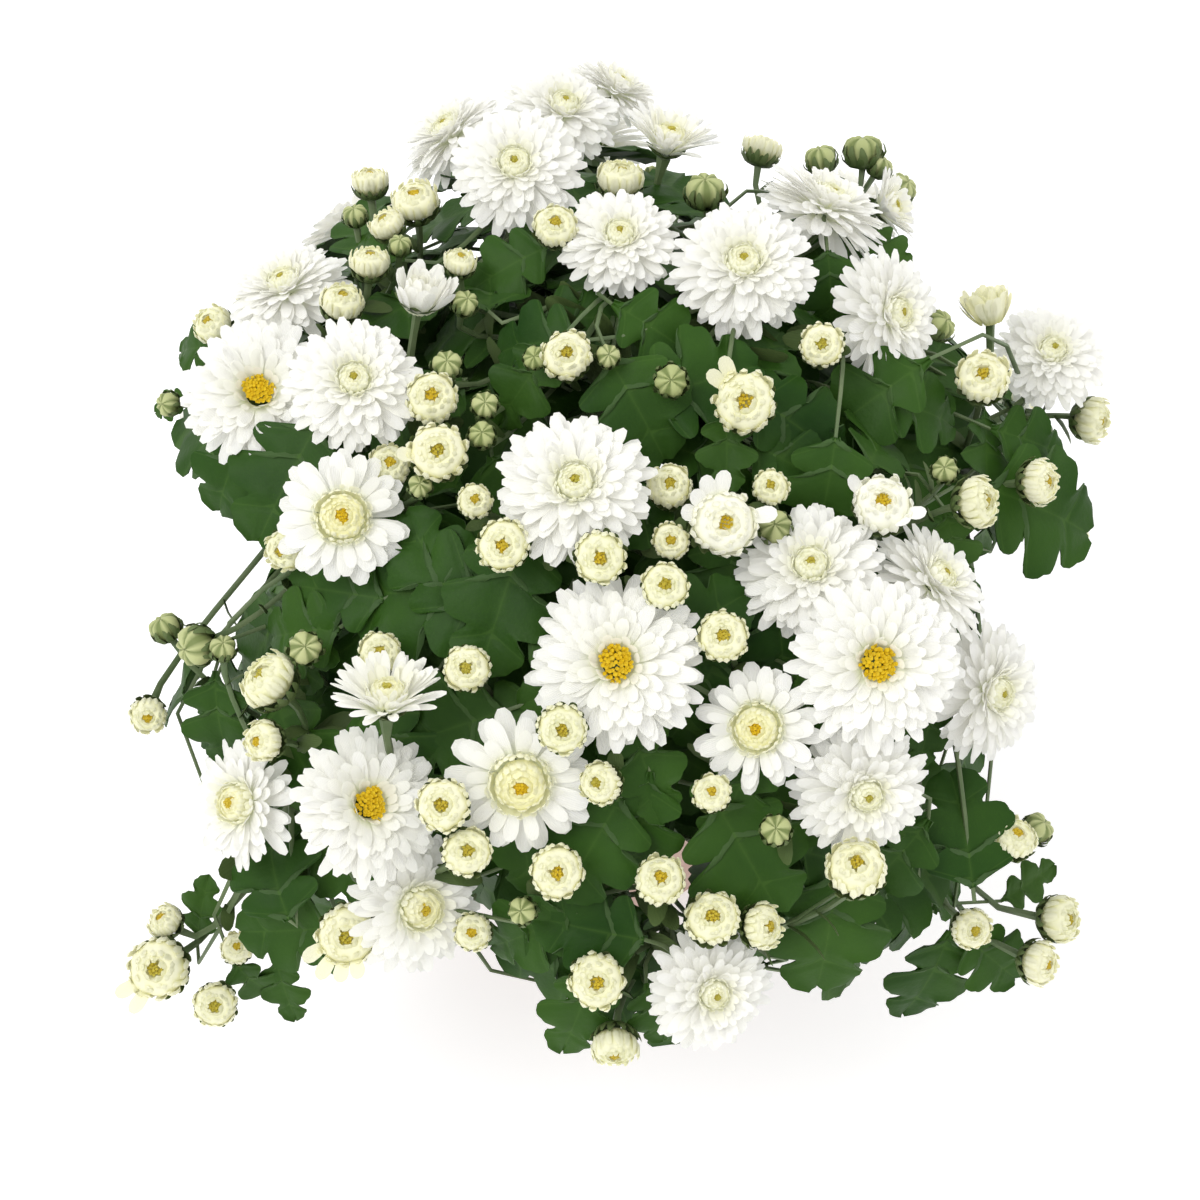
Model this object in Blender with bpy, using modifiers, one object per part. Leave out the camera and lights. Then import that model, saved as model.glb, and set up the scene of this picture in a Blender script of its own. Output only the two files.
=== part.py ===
"""Pot chrysanthemum in white flower.

Six rooted cuttings stand in holes in the soil of a plain plastic pot. Each cutting is one leafy
stem with its branches, leaves and buds grown together. Every open flower head is a piece of its
own, seated on the end of its stalk. Metres, +Z up, origin at the middle of the pot's underside.
The heads are placed as they are seen from the front and above, in pixels of a square view whose
middle looks at the middle of the canopy.
"""

import math
import random

import bmesh
import bpy
from mathutils import Matrix, Vector, noise
from mathutils.bvhtree import BVHTree

MM = 0.001
FIT_GAP = 0.3 * MM

# Pot and soil
POT_HEIGHT = 125 * MM
POT_RIM_RADIUS = 70 * MM
POT_BASE_RADIUS = 49 * MM
POT_WALL = 2.5 * MM
POT_FLOOR = 4 * MM
RIM_BAND = 17 * MM
RIM_STEP = 3.5 * MM
POT_SIDES = 28
DRAIN_RADIUS = 4 * MM
DRAIN_RING = 26 * MM
SOIL_DROP = 13 * MM
SOIL_SIDES = 14
SOIL_RELIEF = 2.5 * MM
SOIL_TOP = POT_HEIGHT - SOIL_DROP
SOIL_GAP = 0.45 * MM
SOIL_RINGS = (6 * MM, 11 * MM, 15 * MM)

# The dome that the heads lie on, and the view that they are placed by
CANOPY_CENTRE = Vector((0.0, 0.0, 175 * MM))
CANOPY_RADII = Vector((178 * MM, 188 * MM, 135 * MM))
VIEW_ELEVATION = math.radians(56)
VIEW_DISTANCE = 850 * MM
VIEW_SPAN = 426 * MM
VIEW_PIXELS = 1200
VIEW_AIM = Vector((-3.5 * MM, -8.0 * MM, 168 * MM))

# Cuttings: one in the middle and five round it
CUTTING_RING = 37 * MM
CUTTING_COUNT = 5
CANOPY_RING = 105 * MM
STEM_DEPTH = 20 * MM
STEM_RADIUS = 3.2 * MM
BRANCH_RADIUS = 2.2 * MM
STALK_RADIUS = 1.5 * MM
STALK_LENGTH = 30 * MM

# Leaves
LEAF_THICKNESS = 1.0 * MM
LEAF_LIFT = -12 * MM
SHELL_LEAVES = 88
SHELL_DEPTHS = (0.88, 0.82, 0.76, 0.70)
SHELL_LEAF_LENGTH = 50 * MM
LEAF_TRIES = 27
LEAF_STEP = 4 * MM
SEED = 11
SLIVER_SHARE = 0.78

WHITE = (0.90, 0.91, 0.84)
YELLOW = (0.80, 0.55, 0.03)
GREEN = (0.06, 0.16, 0.04)
POT_COLOUR = (0.46, 0.30, 0.25)
SOIL_COLOUR = (0.07, 0.045, 0.03)

# Open flowers: kind, across and down in the view, width in mm, tilt away from the viewer and the
# clock direction of that tilt in degrees (0 right, 90 up), and lift towards the viewer in mm.
BLOOMS = (
    ("double", 515, 168, 45, 25, 95, 12),
    ("double", 562, 112, 43, 50, 75, -6),
    ("double", 452, 135, 42, 65, 125, -4),
    ("double", 615, 92, 40, 76, 62, -20),
    ("cup", 668, 143, 35, 64, 75, 2),
    ("double", 620, 240, 40, 35, 90, 0),
    ("double", 743, 267, 47, 28, 85, 4),
    ("double", 825, 208, 47, 74, 62, 0),
    ("young", 886, 208, 28, 70, 20, -12),
    ("double", 888, 315, 44, 50, 12, 0),
    ("double", 1050, 355, 40, 35, 60, 0),
    ("double", 287, 290, 43, 55, 115, 0),
    ("open", 258, 392, 50, 15, 110, 0),
    ("double", 354, 383, 43, 20, 90, 12),
    ("young", 342, 517, 41, 5, 90, 4),
    ("double", 575, 487, 49, 20, 90, 6),
    ("open", 617, 663, 53, 5, 90, 0),
    ("double", 811, 570, 46, 25, 90, -5),
    ("double", 932, 583, 43, 62, 38, -4),
    ("open", 878, 663, 52, 10, 0, 15),
    ("double", 988, 692, 44, 50, 352, -8),
    ("double", 862, 790, 43, 30, 310, 0),
    ("young", 757, 728, 38, 8, 220, -3),
    ("young", 520, 783, 45, 18, 280, 0),
    ("open", 370, 804, 48, 20, 30, 3),
    ("young", 240, 803, 40, 42, 180, 0),
    ("cup", 387, 701, 36, 52, 90, 9),
    ("young", 418, 907, 42, 28, 335, -8),
    ("double", 710, 990, 40, 30, 315, 0),
    ("opening", 420, 300, 22, 60, 80, 6),
    ("opening", 722, 523, 24, 10, 0, 4),
    ("opening", 882, 507, 22, 20, 80, 4),
)

# Heads on the side that the view doesn't reach: kind, turn round the plant in degrees (90 is
# the back), height angle on the dome, width in mm.
FAR_BLOOMS = (
    ("double", 58, 8, 45),
    ("double", 92, 12, 46),
    ("open", 124, 4, 47),
    ("young", 76, -8, 40),
    ("young", 150, -6, 40),
    ("young", 28, -8, 40),
)

# Buds: stage, across, down, width in mm, tilt, clock, lift in mm. A button shows its florets in
# a flat ring, a tight one is still closed in its green bracts.
BUDS = (
    ("button", 555, 226, 14, 25, 80, 8),
    ("button", 620, 178, 16, 65, 85, -8),
    ("button", 415, 201, 16, 50, 100, 0),
    ("button", 370, 181, 13, 70, 95, 0),
    ("button", 387, 224, 12, 60, 120, 2),
    ("button", 370, 262, 13, 62, 90, 4),
    ("button", 460, 262, 11, 55, 80, 0),
    ("button", 342, 302, 14, 50, 80, 4),
    ("button", 213, 325, 14, 50, 140, 0),
    ("button", 567, 355, 16, 10, 90, 6),
    ("button", 822, 345, 14, 5, 90, 8),
    ("button", 983, 377, 17, 20, 90, 6),
    ("button", 1040, 482, 15, 60, 0, 0),
    ("button", 978, 502, 16, 60, 10, 6),
    ("button", 1093, 420, 16, 68, 350, 0),
    ("button", 432, 398, 16, 15, 90, 4),
    ("button", 745, 402, 19, 5, 90, 6),
    ("button", 438, 452, 18, 8, 90, 8),
    ("button", 475, 501, 11, 15, 90, 0),
    ("button", 503, 545, 16, 5, 200, 10),
    ("button", 600, 557, 16, 5, 270, 12),
    ("button", 669, 486, 14, 20, 80, -6),
    ("button", 665, 586, 14, 8, 90, 10),
    ("button", 723, 636, 15, 5, 90, 4),
    ("button", 380, 653, 13, 10, 90, -4),
    ("button", 467, 668, 14, 5, 180, 0),
    ("button", 562, 729, 15, 8, 270, 12),
    ("button", 600, 783, 13, 20, 180, 4),
    ("button", 557, 872, 16, 5, 270, 2),
    ("button", 467, 852, 15, 8, 60, 10),
    ("button", 443, 805, 16, 8, 180, 14),
    ("button", 660, 880, 15, 15, 80, 0),
    ("button", 713, 918, 17, 10, 80, 0),
    ("button", 763, 926, 14, 45, 0, 0),
    ("button", 597, 981, 17, 8, 270, 4),
    ("button", 615, 1047, 15, 60, 270, 0),
    ("button", 857, 868, 18, 25, 90, 8),
    ("button", 712, 793, 12, 10, 90, 0),
    ("button", 1015, 838, 14, 40, 60, 0),
    ("button", 1061, 919, 16, 58, 0, 0),
    ("button", 1040, 963, 15, 58, 345, 0),
    ("button", 972, 929, 13, 25, 330, 4),
    ("button", 215, 1005, 15, 10, 250, 0),
    ("button", 165, 921, 12, 50, 140, 0),
    ("button", 158, 968, 20, 18, 200, 2),
    ("button", 237, 948, 11, 10, 100, 4),
    ("button", 263, 741, 13, 40, 180, 8),
    ("button", 148, 715, 12, 20, 260, 0),
    ("button", 268, 680, 18, 60, 140, 4),
    ("button", 347, 935, 19, 12, 250, 6),
    ("button", 473, 932, 12, 10, 200, -10),
    ("button", 285, 550, 13, 30, 200, -4),
    ("button", 771, 487, 11, 15, 90, 0),
    ("button", 671, 541, 11, 5, 90, 0),
    ("button", 988, 308, 15, 78, 100, 0),
    ("tight", 705, 190, 14, 60, 90, -4),
    ("tight", 821, 158, 12, 74, 100, 0),
    ("tight", 863, 150, 15, 78, 90, 0),
    ("tight", 902, 188, 12, 65, 45, 4),
    ("tight", 940, 325, 11, 60, 40, -4),
    ("tight", 671, 381, 11, 5, 90, 0),
    ("tight", 1038, 828, 11, 62, 40, -4),
    ("tight", 195, 646, 14, 60, 200, 4),
    ("tight", 165, 627, 11, 70, 120, 0),
    ("tight", 305, 648, 11, 10, 90, 0),
)

FAR_BUDS = (
    ("button", 70, 16, 15),
    ("button", 108, 14, 14),
    ("tight", 84, 2, 11),
    ("button", 140, 6, 15),
    ("button", 10, -10, 15),
    ("button", 146, -14, 14),
)

# Leaves that show in the view: across and down at the middle of the blade, its length in mm,
# and the clock direction of its tip.
LEAVES = (
    (1052, 510, 46, 345), (1035, 440, 32, 350), (872, 398, 46, 215), (930, 408, 36, 10),
    (962, 548, 26, 285), (830, 942, 43, 268), (932, 985, 42, 262), (967, 828, 38, 98),
    (995, 962, 30, 318), (1030, 884, 24, 22), (893, 870, 38, 235),
    (522, 940, 38, 212), (588, 930, 34, 170), (578, 1018, 38, 252), (656, 1018, 24, 285),
    (646, 768, 36, 290), (640, 838, 40, 262), (750, 862, 40, 300), (735, 800, 34, 250),
    (268, 870, 34, 112), (282, 932, 34, 190), (254, 990, 26, 300), (284, 992, 26, 274),
    (201, 908, 24, 72), (214, 728, 36, 268), (292, 632, 30, 185),
    (222, 478, 30, 236), (284, 484, 42, 242), (188, 345, 26, 168),
    (372, 244, 26, 150), (504, 266, 30, 205), (530, 340, 30, 178), (592, 306, 36, 5),
    (660, 330, 34, 330), (833, 292, 28, 275), (890, 250, 20, 318), (829, 492, 34, 262),
    (727, 452, 26, 270), (405, 592, 46, 195), (500, 606, 44, 252), (786, 640, 32, 280),
    (938, 738, 24, 262), (445, 730, 36, 215), (705, 380, 38, 20), (640, 410, 36, 300),
    (520, 385, 34, 230), (430, 560, 36, 120), (330, 590, 34, 170), (700, 620, 34, 30),
    (810, 430, 40, 330), (590, 850, 36, 240), (560, 690, 30, 200),
)

# The outline of the bush in the view, corner by corner, which the leaves between stay inside
BUSH_OUTLINE = (
    (400, 170), (470, 120), (560, 85), (640, 110), (700, 165), (760, 195), (850, 165), (905, 200),
    (895, 250), (930, 290), (960, 335), (1000, 320), (1060, 340), (1090, 400), (1060, 440),
    (1095, 490), (1040, 550), (960, 545), (985, 600), (1020, 660), (1015, 740), (950, 745),
    (930, 800), (965, 775), (1040, 820), (1060, 870), (1085, 920), (1060, 975), (1000, 985),
    (960, 1030), (900, 1010), (890, 960), (870, 985), (800, 985), (785, 950), (740, 1020),
    (715, 1040), (660, 1040), (600, 1050), (545, 1045), (545, 990), (490, 970), (480, 950),
    (400, 945), (340, 970), (310, 960), (290, 1020), (250, 1010), (200, 1020), (140, 990),
    (130, 940), (170, 905), (200, 890), (240, 915), (250, 850), (200, 820), (205, 770),
    (180, 740), (110, 715), (100, 700), (150, 690), (160, 610), (190, 620), (240, 640),
    (265, 600), (280, 520), (240, 480), (200, 510), (210, 460), (150, 400), (190, 380),
    (165, 330), (230, 290), (260, 260), (340, 250), (345, 180),
)

# Profiles in parts of the head's radius. Rings are (radius, height) from the seat up. Layers are
# (band of the core, every how many faces, length, width, rise in degrees, swing in faces).
HEAD_SIDES = 8
HEAD_SHAPES = {
    "double": {
        "rings": ((0.19, 0.0), (0.25, 0.10), (0.25, 0.20), (0.21, 0.32), (0.13, 0.42)),
        "layers": ((1, 1, 1.0, 0.42, 2, 0.0), (2, 1, 0.78, 0.36, 24, 0.5), (3, 2, 0.46, 0.28, 52, 0.0)),
    },
    "open": {
        "rings": ((0.19, 0.0), (0.28, 0.10), (0.29, 0.19), (0.28, 0.27), (0.26, 0.33)),
        "layers": ((1, 1, 1.0, 0.42, 2, 0.0), (2, 1, 0.78, 0.36, 20, 0.5), (3, 2, 0.54, 0.26, 42, 0.0)),
    },
    "young": {
        "rings": ((0.17, 0.0), (0.25, 0.10), (0.31, 0.21), (0.41, 0.34), (0.32, 0.47)),
        "layers": ((1, 1, 1.0, 0.36, 8, 0.0),),
    },
    "cup": {
        "rings": ((0.20, 0.0), (0.32, 0.12), (0.37, 0.25), (0.48, 0.48), (0.36, 0.68)),
        "layers": ((1, 1, 1.0, 0.38, 30, 0.0),),
    },
    "opening": {
        "rings": ((0.30, 0.0), (0.55, 0.20), (0.66, 0.40), (0.70, 0.70), (0.52, 0.94)),
        "layers": ((1, 3, 1.1, 0.44, 48, 0.0),),
    },
}
DISC_RINGS = ((0.20, 0.0), (0.22, 0.06), (0.16, 0.13))
DISC_SIDES = 6
HEAD_MIDDLE = 0.25
TIP_SHARE = 0.80

# Half of a leaf's outline from the stalk to the tip, in parts of the blade's length, and how far
# along it the middle rib has its points.
LEAF_EDGE = ((0.04, 0.0), (0.35, 0.18), (0.17, 0.40), (0.37, 0.62), (0.17, 0.78))
LEAF_FANS = ((0, 0), (0, 1), (1, 2), (1, 3), (1, 4))
SLIM_EDGE = ((0.04, 0.0), (0.36, 0.28), (0.26, 0.66))
SLIM_FANS = ((0, 0), (1, 1), (1, 2))
LEAF_RIB = (0.0, 0.45)
LEAF_ARCH = 0.22
LEAF_FOLD = 0.10

# Ways that a branch, a bud or a leaf may move to keep clear of what stands in its way
BRANCH_SAGS = (0.0, 6 * MM, 12 * MM, 18 * MM)
BRANCH_SHIFTS = (0.0, 0.12, -0.12, 0.24)
BUD_SHIFTS = (0.0, 3 * MM, -3 * MM, 6 * MM, -6 * MM, 10 * MM, -10 * MM)
BUD_ROOTS = (0.85, 0.65, 0.45)


def clear_scene():
    for obj in list(bpy.data.objects):
        bpy.data.objects.remove(obj)


def new_collection(name):
    collection = bpy.data.collections.new(name)
    bpy.context.scene.collection.children.link(collection)
    return collection


def material(name, colour, roughness, metallic=0.0):
    made = bpy.data.materials.new(name)
    made.use_nodes = True
    shader = made.node_tree.nodes["Principled BSDF"]
    shader.inputs["Base Color"].default_value = (*colour, 1.0)
    shader.inputs["Roughness"].default_value = roughness
    shader.inputs["Metallic"].default_value = metallic
    return made


def mesh_object(name, mesh, collection, finish):
    obj = bpy.data.objects.new(name, mesh)
    collection.objects.link(obj)
    mesh.materials.clear()
    mesh.materials.append(finish)
    return obj


def finished_mesh(name, bm):
    """A mesh from bm, closed and facing out, and bm freed."""
    bmesh.ops.recalc_face_normals(bm, faces=bm.faces)
    mesh = bpy.data.meshes.new(name)
    bm.to_mesh(mesh)
    bm.free()
    return mesh


def turned(name, profile, sides, collection, finish):
    """A solid turned about Z from a profile that runs down its outer side, from axis to axis."""
    bm = bmesh.new()
    corners = [bm.verts.new((radius, 0.0, height)) for radius, height in profile]
    for first, second in zip(corners, corners[1:]):
        bm.edges.new((first, second))
    mesh = bpy.data.meshes.new(name)
    bm.to_mesh(mesh)
    bm.free()
    obj = mesh_object(name, mesh, collection, finish)
    screw = obj.modifiers.new("turn", "SCREW")
    screw.steps = sides
    screw.render_steps = sides
    screw.use_merge_vertices = True
    screw.merge_threshold = 0.00001
    return obj


def cut_round_holes(obj, places, radius, bottom, top, cutters):
    """Cuts an upright round hole in obj at each place, between two heights."""
    for place in places:
        bpy.ops.mesh.primitive_cylinder_add(
            vertices=10, radius=radius, depth=top - bottom, location=(place.x, place.y, (top + bottom) / 2)
        )
        cutter = bpy.context.object
        for collection in list(cutter.users_collection):
            collection.objects.unlink(cutter)
        cutters.objects.link(cutter)
        cutter.hide_render = True
        cutter.display_type = "WIRE"
        hole = obj.modifiers.new("hole", "BOOLEAN")
        hole.operation = "DIFFERENCE"
        hole.object = cutter


def make_pot(collection, cutters, finish):
    """A tapered pot with a stepped rim band and drain holes in its floor."""
    body_top = POT_RIM_RADIUS - RIM_STEP
    inner_top = body_top - POT_WALL
    profile = (
        (0.0, POT_FLOOR),
        (POT_BASE_RADIUS - POT_WALL, POT_FLOOR),
        (inner_top, POT_HEIGHT - RIM_BAND),
        (inner_top + RIM_STEP * 0.6, POT_HEIGHT),
        (POT_RIM_RADIUS + 1.0 * MM, POT_HEIGHT),
        (POT_RIM_RADIUS, POT_HEIGHT - RIM_BAND),
        (body_top, POT_HEIGHT - RIM_BAND - 1.0 * MM),
        (POT_BASE_RADIUS, 0.0),
        (0.0, 0.0),
    )
    pot = turned("pot", profile, POT_SIDES, collection, finish)
    places = [Vector((math.cos(turn), math.sin(turn), 0)) * DRAIN_RING for turn in quarter_turns()]
    cut_round_holes(pot, places, DRAIN_RADIUS, -POT_FLOOR, POT_FLOOR * 2, cutters)
    return pot


def quarter_turns():
    return [math.pi / 4 + math.pi / 2 * step for step in range(4)]


def inner_pot_radius(height):
    """Radius of the pot's inside at a height below the rim band."""
    inner_top = POT_RIM_RADIUS - RIM_STEP - POT_WALL
    inner_bottom = POT_BASE_RADIUS - POT_WALL
    share = (height - POT_FLOOR) / (POT_HEIGHT - RIM_BAND - POT_FLOOR)
    return inner_bottom + (inner_top - inner_bottom) * share


def make_soil(collection, cutters, finish, bases):
    """Soil that fills the pot, lumpy on top, with a hole for each cutting."""
    bottom = POT_FLOOR + FIT_GAP
    shoulder = POT_HEIGHT - RIM_BAND
    rim = inner_pot_radius(shoulder) - SOIL_GAP
    bm = bmesh.new()
    bmesh.ops.create_cone(
        bm, cap_ends=True, segments=SOIL_SIDES, radius1=inner_pot_radius(bottom) - SOIL_GAP,
        radius2=rim, depth=shoulder - bottom,
        matrix=Matrix.Translation((0, 0, (bottom + shoulder) / 2)),
    )
    top = max(bm.faces, key=lambda face: face.calc_center_median().z)
    for thickness in SOIL_RINGS:
        bmesh.ops.inset_region(bm, faces=[top], thickness=thickness)
    for vert in bm.verts:
        if vert.co.z > shoulder - FIT_GAP:
            inward = 1 - vert.co.xy.length / rim
            lump = noise.noise(vert.co * 60.0) * SOIL_RELIEF
            vert.co.z += min(1.0, inward * 6) * (SOIL_TOP - shoulder + lump)
    soil = mesh_object("soil", finished_mesh("soil", bm), collection, finish)
    hole_radius = (STEM_RADIUS + FIT_GAP) * 1.06
    cut_round_holes(soil, bases, hole_radius, SOIL_TOP - STEM_DEPTH - FIT_GAP, POT_HEIGHT, cutters)
    return soil


# The view


def view_axes():
    """Right, up and back (towards the viewer) in the plant's frame."""
    rise, run = math.sin(VIEW_ELEVATION), math.cos(VIEW_ELEVATION)
    return Vector((1, 0, 0)), Vector((0, rise, run)), Vector((0, -run, rise))


def view_ray(across, down):
    """Eye and direction of the ray through a pixel of the view."""
    right, up, back = view_axes()
    step = VIEW_SPAN / VIEW_PIXELS
    middle = VIEW_PIXELS / 2
    eye = VIEW_AIM + back * VIEW_DISTANCE
    seen = VIEW_AIM + right * (across - middle) * step + up * (middle - down) * step
    return eye, (seen - eye).normalized()


def in_the_bush(place):
    """Whether a place shows inside the outline of the bush."""
    right, up, back = view_axes()
    step = place - VIEW_AIM
    scale = VIEW_PIXELS / VIEW_SPAN * VIEW_DISTANCE / (VIEW_DISTANCE - step.dot(back))
    x = VIEW_PIXELS / 2 + step.dot(right) * scale
    y = VIEW_PIXELS / 2 - step.dot(up) * scale
    inside = False
    for (x1, y1), (x2, y2) in zip(BUSH_OUTLINE, BUSH_OUTLINE[1:] + BUSH_OUTLINE[:1]):
        if (y1 > y) != (y2 > y) and x < x1 + (x2 - x1) * (y - y1) / (y2 - y1):
            inside = not inside
    return inside


def canopy_point(across, down, lift):
    """Where a pixel's ray meets the dome, or passes nearest to it, moved by lift towards the eye."""
    eye, ray = view_ray(across, down)
    start = Vector([(eye[i] - CANOPY_CENTRE[i]) / CANOPY_RADII[i] for i in range(3)])
    step = Vector([ray[i] / CANOPY_RADII[i] for i in range(3)])
    nearest = -start.dot(step) / step.dot(step)
    spare = 1 - (start + step * nearest).length_squared
    travel = nearest - math.sqrt(max(0.0, spare) / step.dot(step)) - lift
    return eye + ray * travel


def canopy_normal(point):
    return Vector([(point[i] - CANOPY_CENTRE[i]) / CANOPY_RADII[i] ** 2 for i in range(3)]).normalized()


def facing(point, tilt, clock):
    """Direction tilted away from the viewer by tilt, towards a clock direction in the view."""
    right, up, back = view_axes()
    to_eye = (VIEW_AIM + back * VIEW_DISTANCE - point).normalized()
    turn = right * math.cos(math.radians(clock)) + up * math.sin(math.radians(clock))
    turn = (turn - to_eye * turn.dot(to_eye)).normalized()
    return (to_eye * math.cos(math.radians(tilt)) + turn * math.sin(math.radians(tilt))).normalized()


def dome_point(turn, height):
    """Point on the dome at a turn round the plant and a height angle, both in degrees."""
    turn, height = math.radians(turn), math.radians(height)
    share = Vector((math.cos(turn) * math.cos(height), math.sin(turn) * math.cos(height), math.sin(height)))
    return CANOPY_CENTRE + Vector([share[i] * CANOPY_RADII[i] for i in range(3)])


def head_places(seen, far):
    """(kind, middle, facing, radius) of each head in a table of seen ones and one of far ones."""
    places = []
    for kind, across, down, width, tilt, clock, lift in seen:
        middle = canopy_point(across, down, lift * MM)
        places.append((kind, middle, facing(middle, tilt, clock), width * MM / 2))
    for kind, turn, height, width in far:
        middle = dome_point(turn, height)
        outward = (canopy_normal(middle) + Vector((0, 0, 0.35))).normalized()
        places.append((kind, middle, outward, width * MM / 2))
    return places


# Flower heads


def frame_along(direction, turn):
    """Rotation whose Z is the direction, turned about it."""
    return direction.to_track_quat("Z", "Y").to_matrix() @ Matrix.Rotation(turn, 3, "Z")


def ring_core(bm, rings, sides):
    """A closed stack of rings about Z. Returns its side faces, band by band."""
    loops = []
    for radius, height in rings:
        turns = [2 * math.pi * step / sides for step in range(sides)]
        loops.append([bm.verts.new((radius * math.cos(t), radius * math.sin(t), height)) for t in turns])
    bands = []
    for low, high in zip(loops, loops[1:]):
        band = []
        for step in range(sides):
            after = (step + 1) % sides
            band.append(bm.faces.new((low[step], low[after], high[after], high[step])))
        bands.append(band)
    bm.faces.new(list(reversed(loops[0])))
    bm.faces.new(loops[-1])
    return bands


def grow_petal(bm, root, length, width, rise, swing, rounded):
    """Lofts a petal out of a four-sided root face: thick at the root, an edge at its tip."""
    low_left, low_right, high_right, high_left = root.verts
    middle = root.calc_center_median()
    bm.faces.remove(root)
    turn = math.atan2(middle.y, middle.x) + swing
    out = Vector((math.cos(turn), math.sin(turn), 0))
    side = Vector((-out.y, out.x, 0)) * width / 2
    ray = out * math.cos(rise) + Vector((0, 0, math.sin(rise)))
    reach = (length - middle.xy.length) / max(math.cos(rise), 0.6)
    shoulder = middle + ray * reach * (TIP_SHARE if rounded else 1)
    left, right = bm.verts.new(shoulder - side), bm.verts.new(shoulder + side)
    tip = bm.verts.new(middle + ray * reach) if rounded else left
    for near_left, near_right in ((high_left, high_right), (low_left, low_right)):
        bm.faces.new((near_left, near_right, tip))
        bm.faces.new((near_right, right, tip))
        if rounded:
            bm.faces.new((near_left, tip, left))
    bm.faces.new((low_left, high_left, left))
    bm.faces.new((high_right, low_right, right))


def make_bloom(name, kind, middle, direction, radius, turn, collection, finish):
    """One flower head: a small core with its layers of petals lofted out of the core's faces."""
    shape = HEAD_SHAPES[kind]
    bm = bmesh.new()
    bands = ring_core(bm, shape["rings"], HEAD_SIDES)
    face_turn = 2 * math.pi / HEAD_SIDES
    for band_number, stride, length, width, rise, swing in shape["layers"]:
        for root in bands[band_number][::stride]:
            grow_petal(bm, root, length, width, math.radians(rise), swing * face_turn, band_number == 1)
    bmesh.ops.scale(bm, vec=(radius, radius, radius), verts=bm.verts)
    bloom = mesh_object(name, finished_mesh(name, bm), collection, finish)
    seat = middle - direction * radius * HEAD_MIDDLE
    bloom.matrix_world = Matrix.Translation(seat) @ frame_along(direction, turn).to_4x4()
    return bloom, seat


def make_disc(name, bloom, radius, collection, finish):
    """The yellow disc of an open flower, on top of its core."""
    bm = bmesh.new()
    ring_core(bm, DISC_RINGS, DISC_SIDES)
    bmesh.ops.scale(bm, vec=(radius, radius, radius), verts=bm.verts)
    disc = mesh_object(name, finished_mesh(name, bm), collection, finish)
    lift = HEAD_SHAPES["open"]["rings"][-1][1] * radius + FIT_GAP
    disc.matrix_world = bloom.matrix_world @ Matrix.Translation((0, 0, lift))


# Stems, stalks and buds


def tube_mesh(points, radii):
    """A square tube through points, as thick at each as its radius, with closed ends."""
    curve = bpy.data.curves.new("tube", "CURVE")
    curve.dimensions = "3D"
    curve.bevel_depth = 1.0
    curve.bevel_resolution = 0
    curve.use_fill_caps = True
    spline = curve.splines.new("POLY")
    spline.points.add(len(points) - 1)
    for corner, place, radius in zip(spline.points, points, radii):
        corner.co = (*place, 1.0)
        corner.radius = radius
    guide = bpy.data.objects.new("tube", curve)
    mesh = bpy.data.meshes.new_from_object(guide)
    bpy.data.objects.remove(guide)
    bpy.data.curves.remove(curve)
    bm = bmesh.new()
    bm.from_mesh(mesh)
    bmesh.ops.remove_doubles(bm, verts=bm.verts, dist=0.00001)
    bmesh.ops.recalc_face_normals(bm, faces=bm.faces)
    bm.to_mesh(mesh)
    bm.free()
    return mesh


def bend(start, start_way, end, end_way, steps):
    """Points of a smooth bend from start to end, leaving and arriving along the two ways."""
    reach = (end - start).length * 0.4
    first, second = start + start_way * reach, end - end_way * reach
    points = []
    for step in range(steps + 1):
        t = step / steps
        points.append(
            start * (1 - t) ** 3 + first * 3 * t * (1 - t) ** 2 + second * 3 * t * t * (1 - t) + end * t ** 3
        )
    return points


def point_along(points, share):
    """Point and direction at a share of the length of a line of points."""
    lengths = [(b - a).length for a, b in zip(points, points[1:])]
    left = share * sum(lengths)
    for a, b, length in zip(points, points[1:], lengths):
        if left <= length:
            return a.lerp(b, left / length), (b - a).normalized()
        left -= length
    return points[-1].copy(), (points[-1] - points[-2]).normalized()


def stalk_root(lines, place, high, base, way):
    """The point on the lines nearest to place, from which a straight stalk reaches base heading
    less than 70 degrees off the way that it goes on from there."""
    low, steps = 0.2, 60
    found = []
    for line in lines:
        for step in range(steps + 1):
            point, _ = point_along(line, low + (high - low) * step / steps)
            stray = (base - point).normalized().dot(way) < 0.35
            found.append((stray, (point - place).length, tuple(point)))
    return Vector(min(found)[2])


def cutting_bases():
    """Where the cuttings stand: one in the middle, the rest on a ring."""
    turns = [2 * math.pi * step / CUTTING_COUNT - math.pi / 2 for step in range(CUTTING_COUNT)]
    ring = [Vector((math.cos(t), math.sin(t), 0)) * CUTTING_RING for t in turns]
    return [Vector((0, 0, 0)), *ring]


def cutting_of(place, bases):
    """The cutting whose part of the canopy a place lies in."""
    spread = CANOPY_RING / CUTTING_RING
    return min(range(len(bases)), key=lambda i: (Vector((place.x, place.y, 0)) - bases[i] * spread).length)


def branch_line(start, start_way, seat, direction, sag):
    """A branch from start to a flower head's seat, bending in behind the head."""
    neck = seat - direction * 9 * MM
    line = bend(start, start_way, neck, direction, 2)
    heart = Vector((0, 0, line[1].z - 30 * MM))
    line[1] += (heart - line[1]).normalized() * sag
    return [*line, seat - direction * FIT_GAP]


def branch_radii(line, thick, head_radius):
    steps = len(line) - 1
    radii = [thick + (STALK_RADIUS - thick) * step / (steps - 1) for step in range(steps)]
    return [*radii, head_radius * 0.19]


def ring(bm, centre, axis, across, radius, count):
    """Corners round an axis, the first of them on the side that across points to."""
    side = (across - axis * across.dot(axis)).normalized()
    after = axis.cross(side)
    turns = [2 * math.pi * step / count for step in range(count)]
    return [bm.verts.new(centre + (side * math.cos(t) + after * math.sin(t)) * radius) for t in turns]


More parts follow.
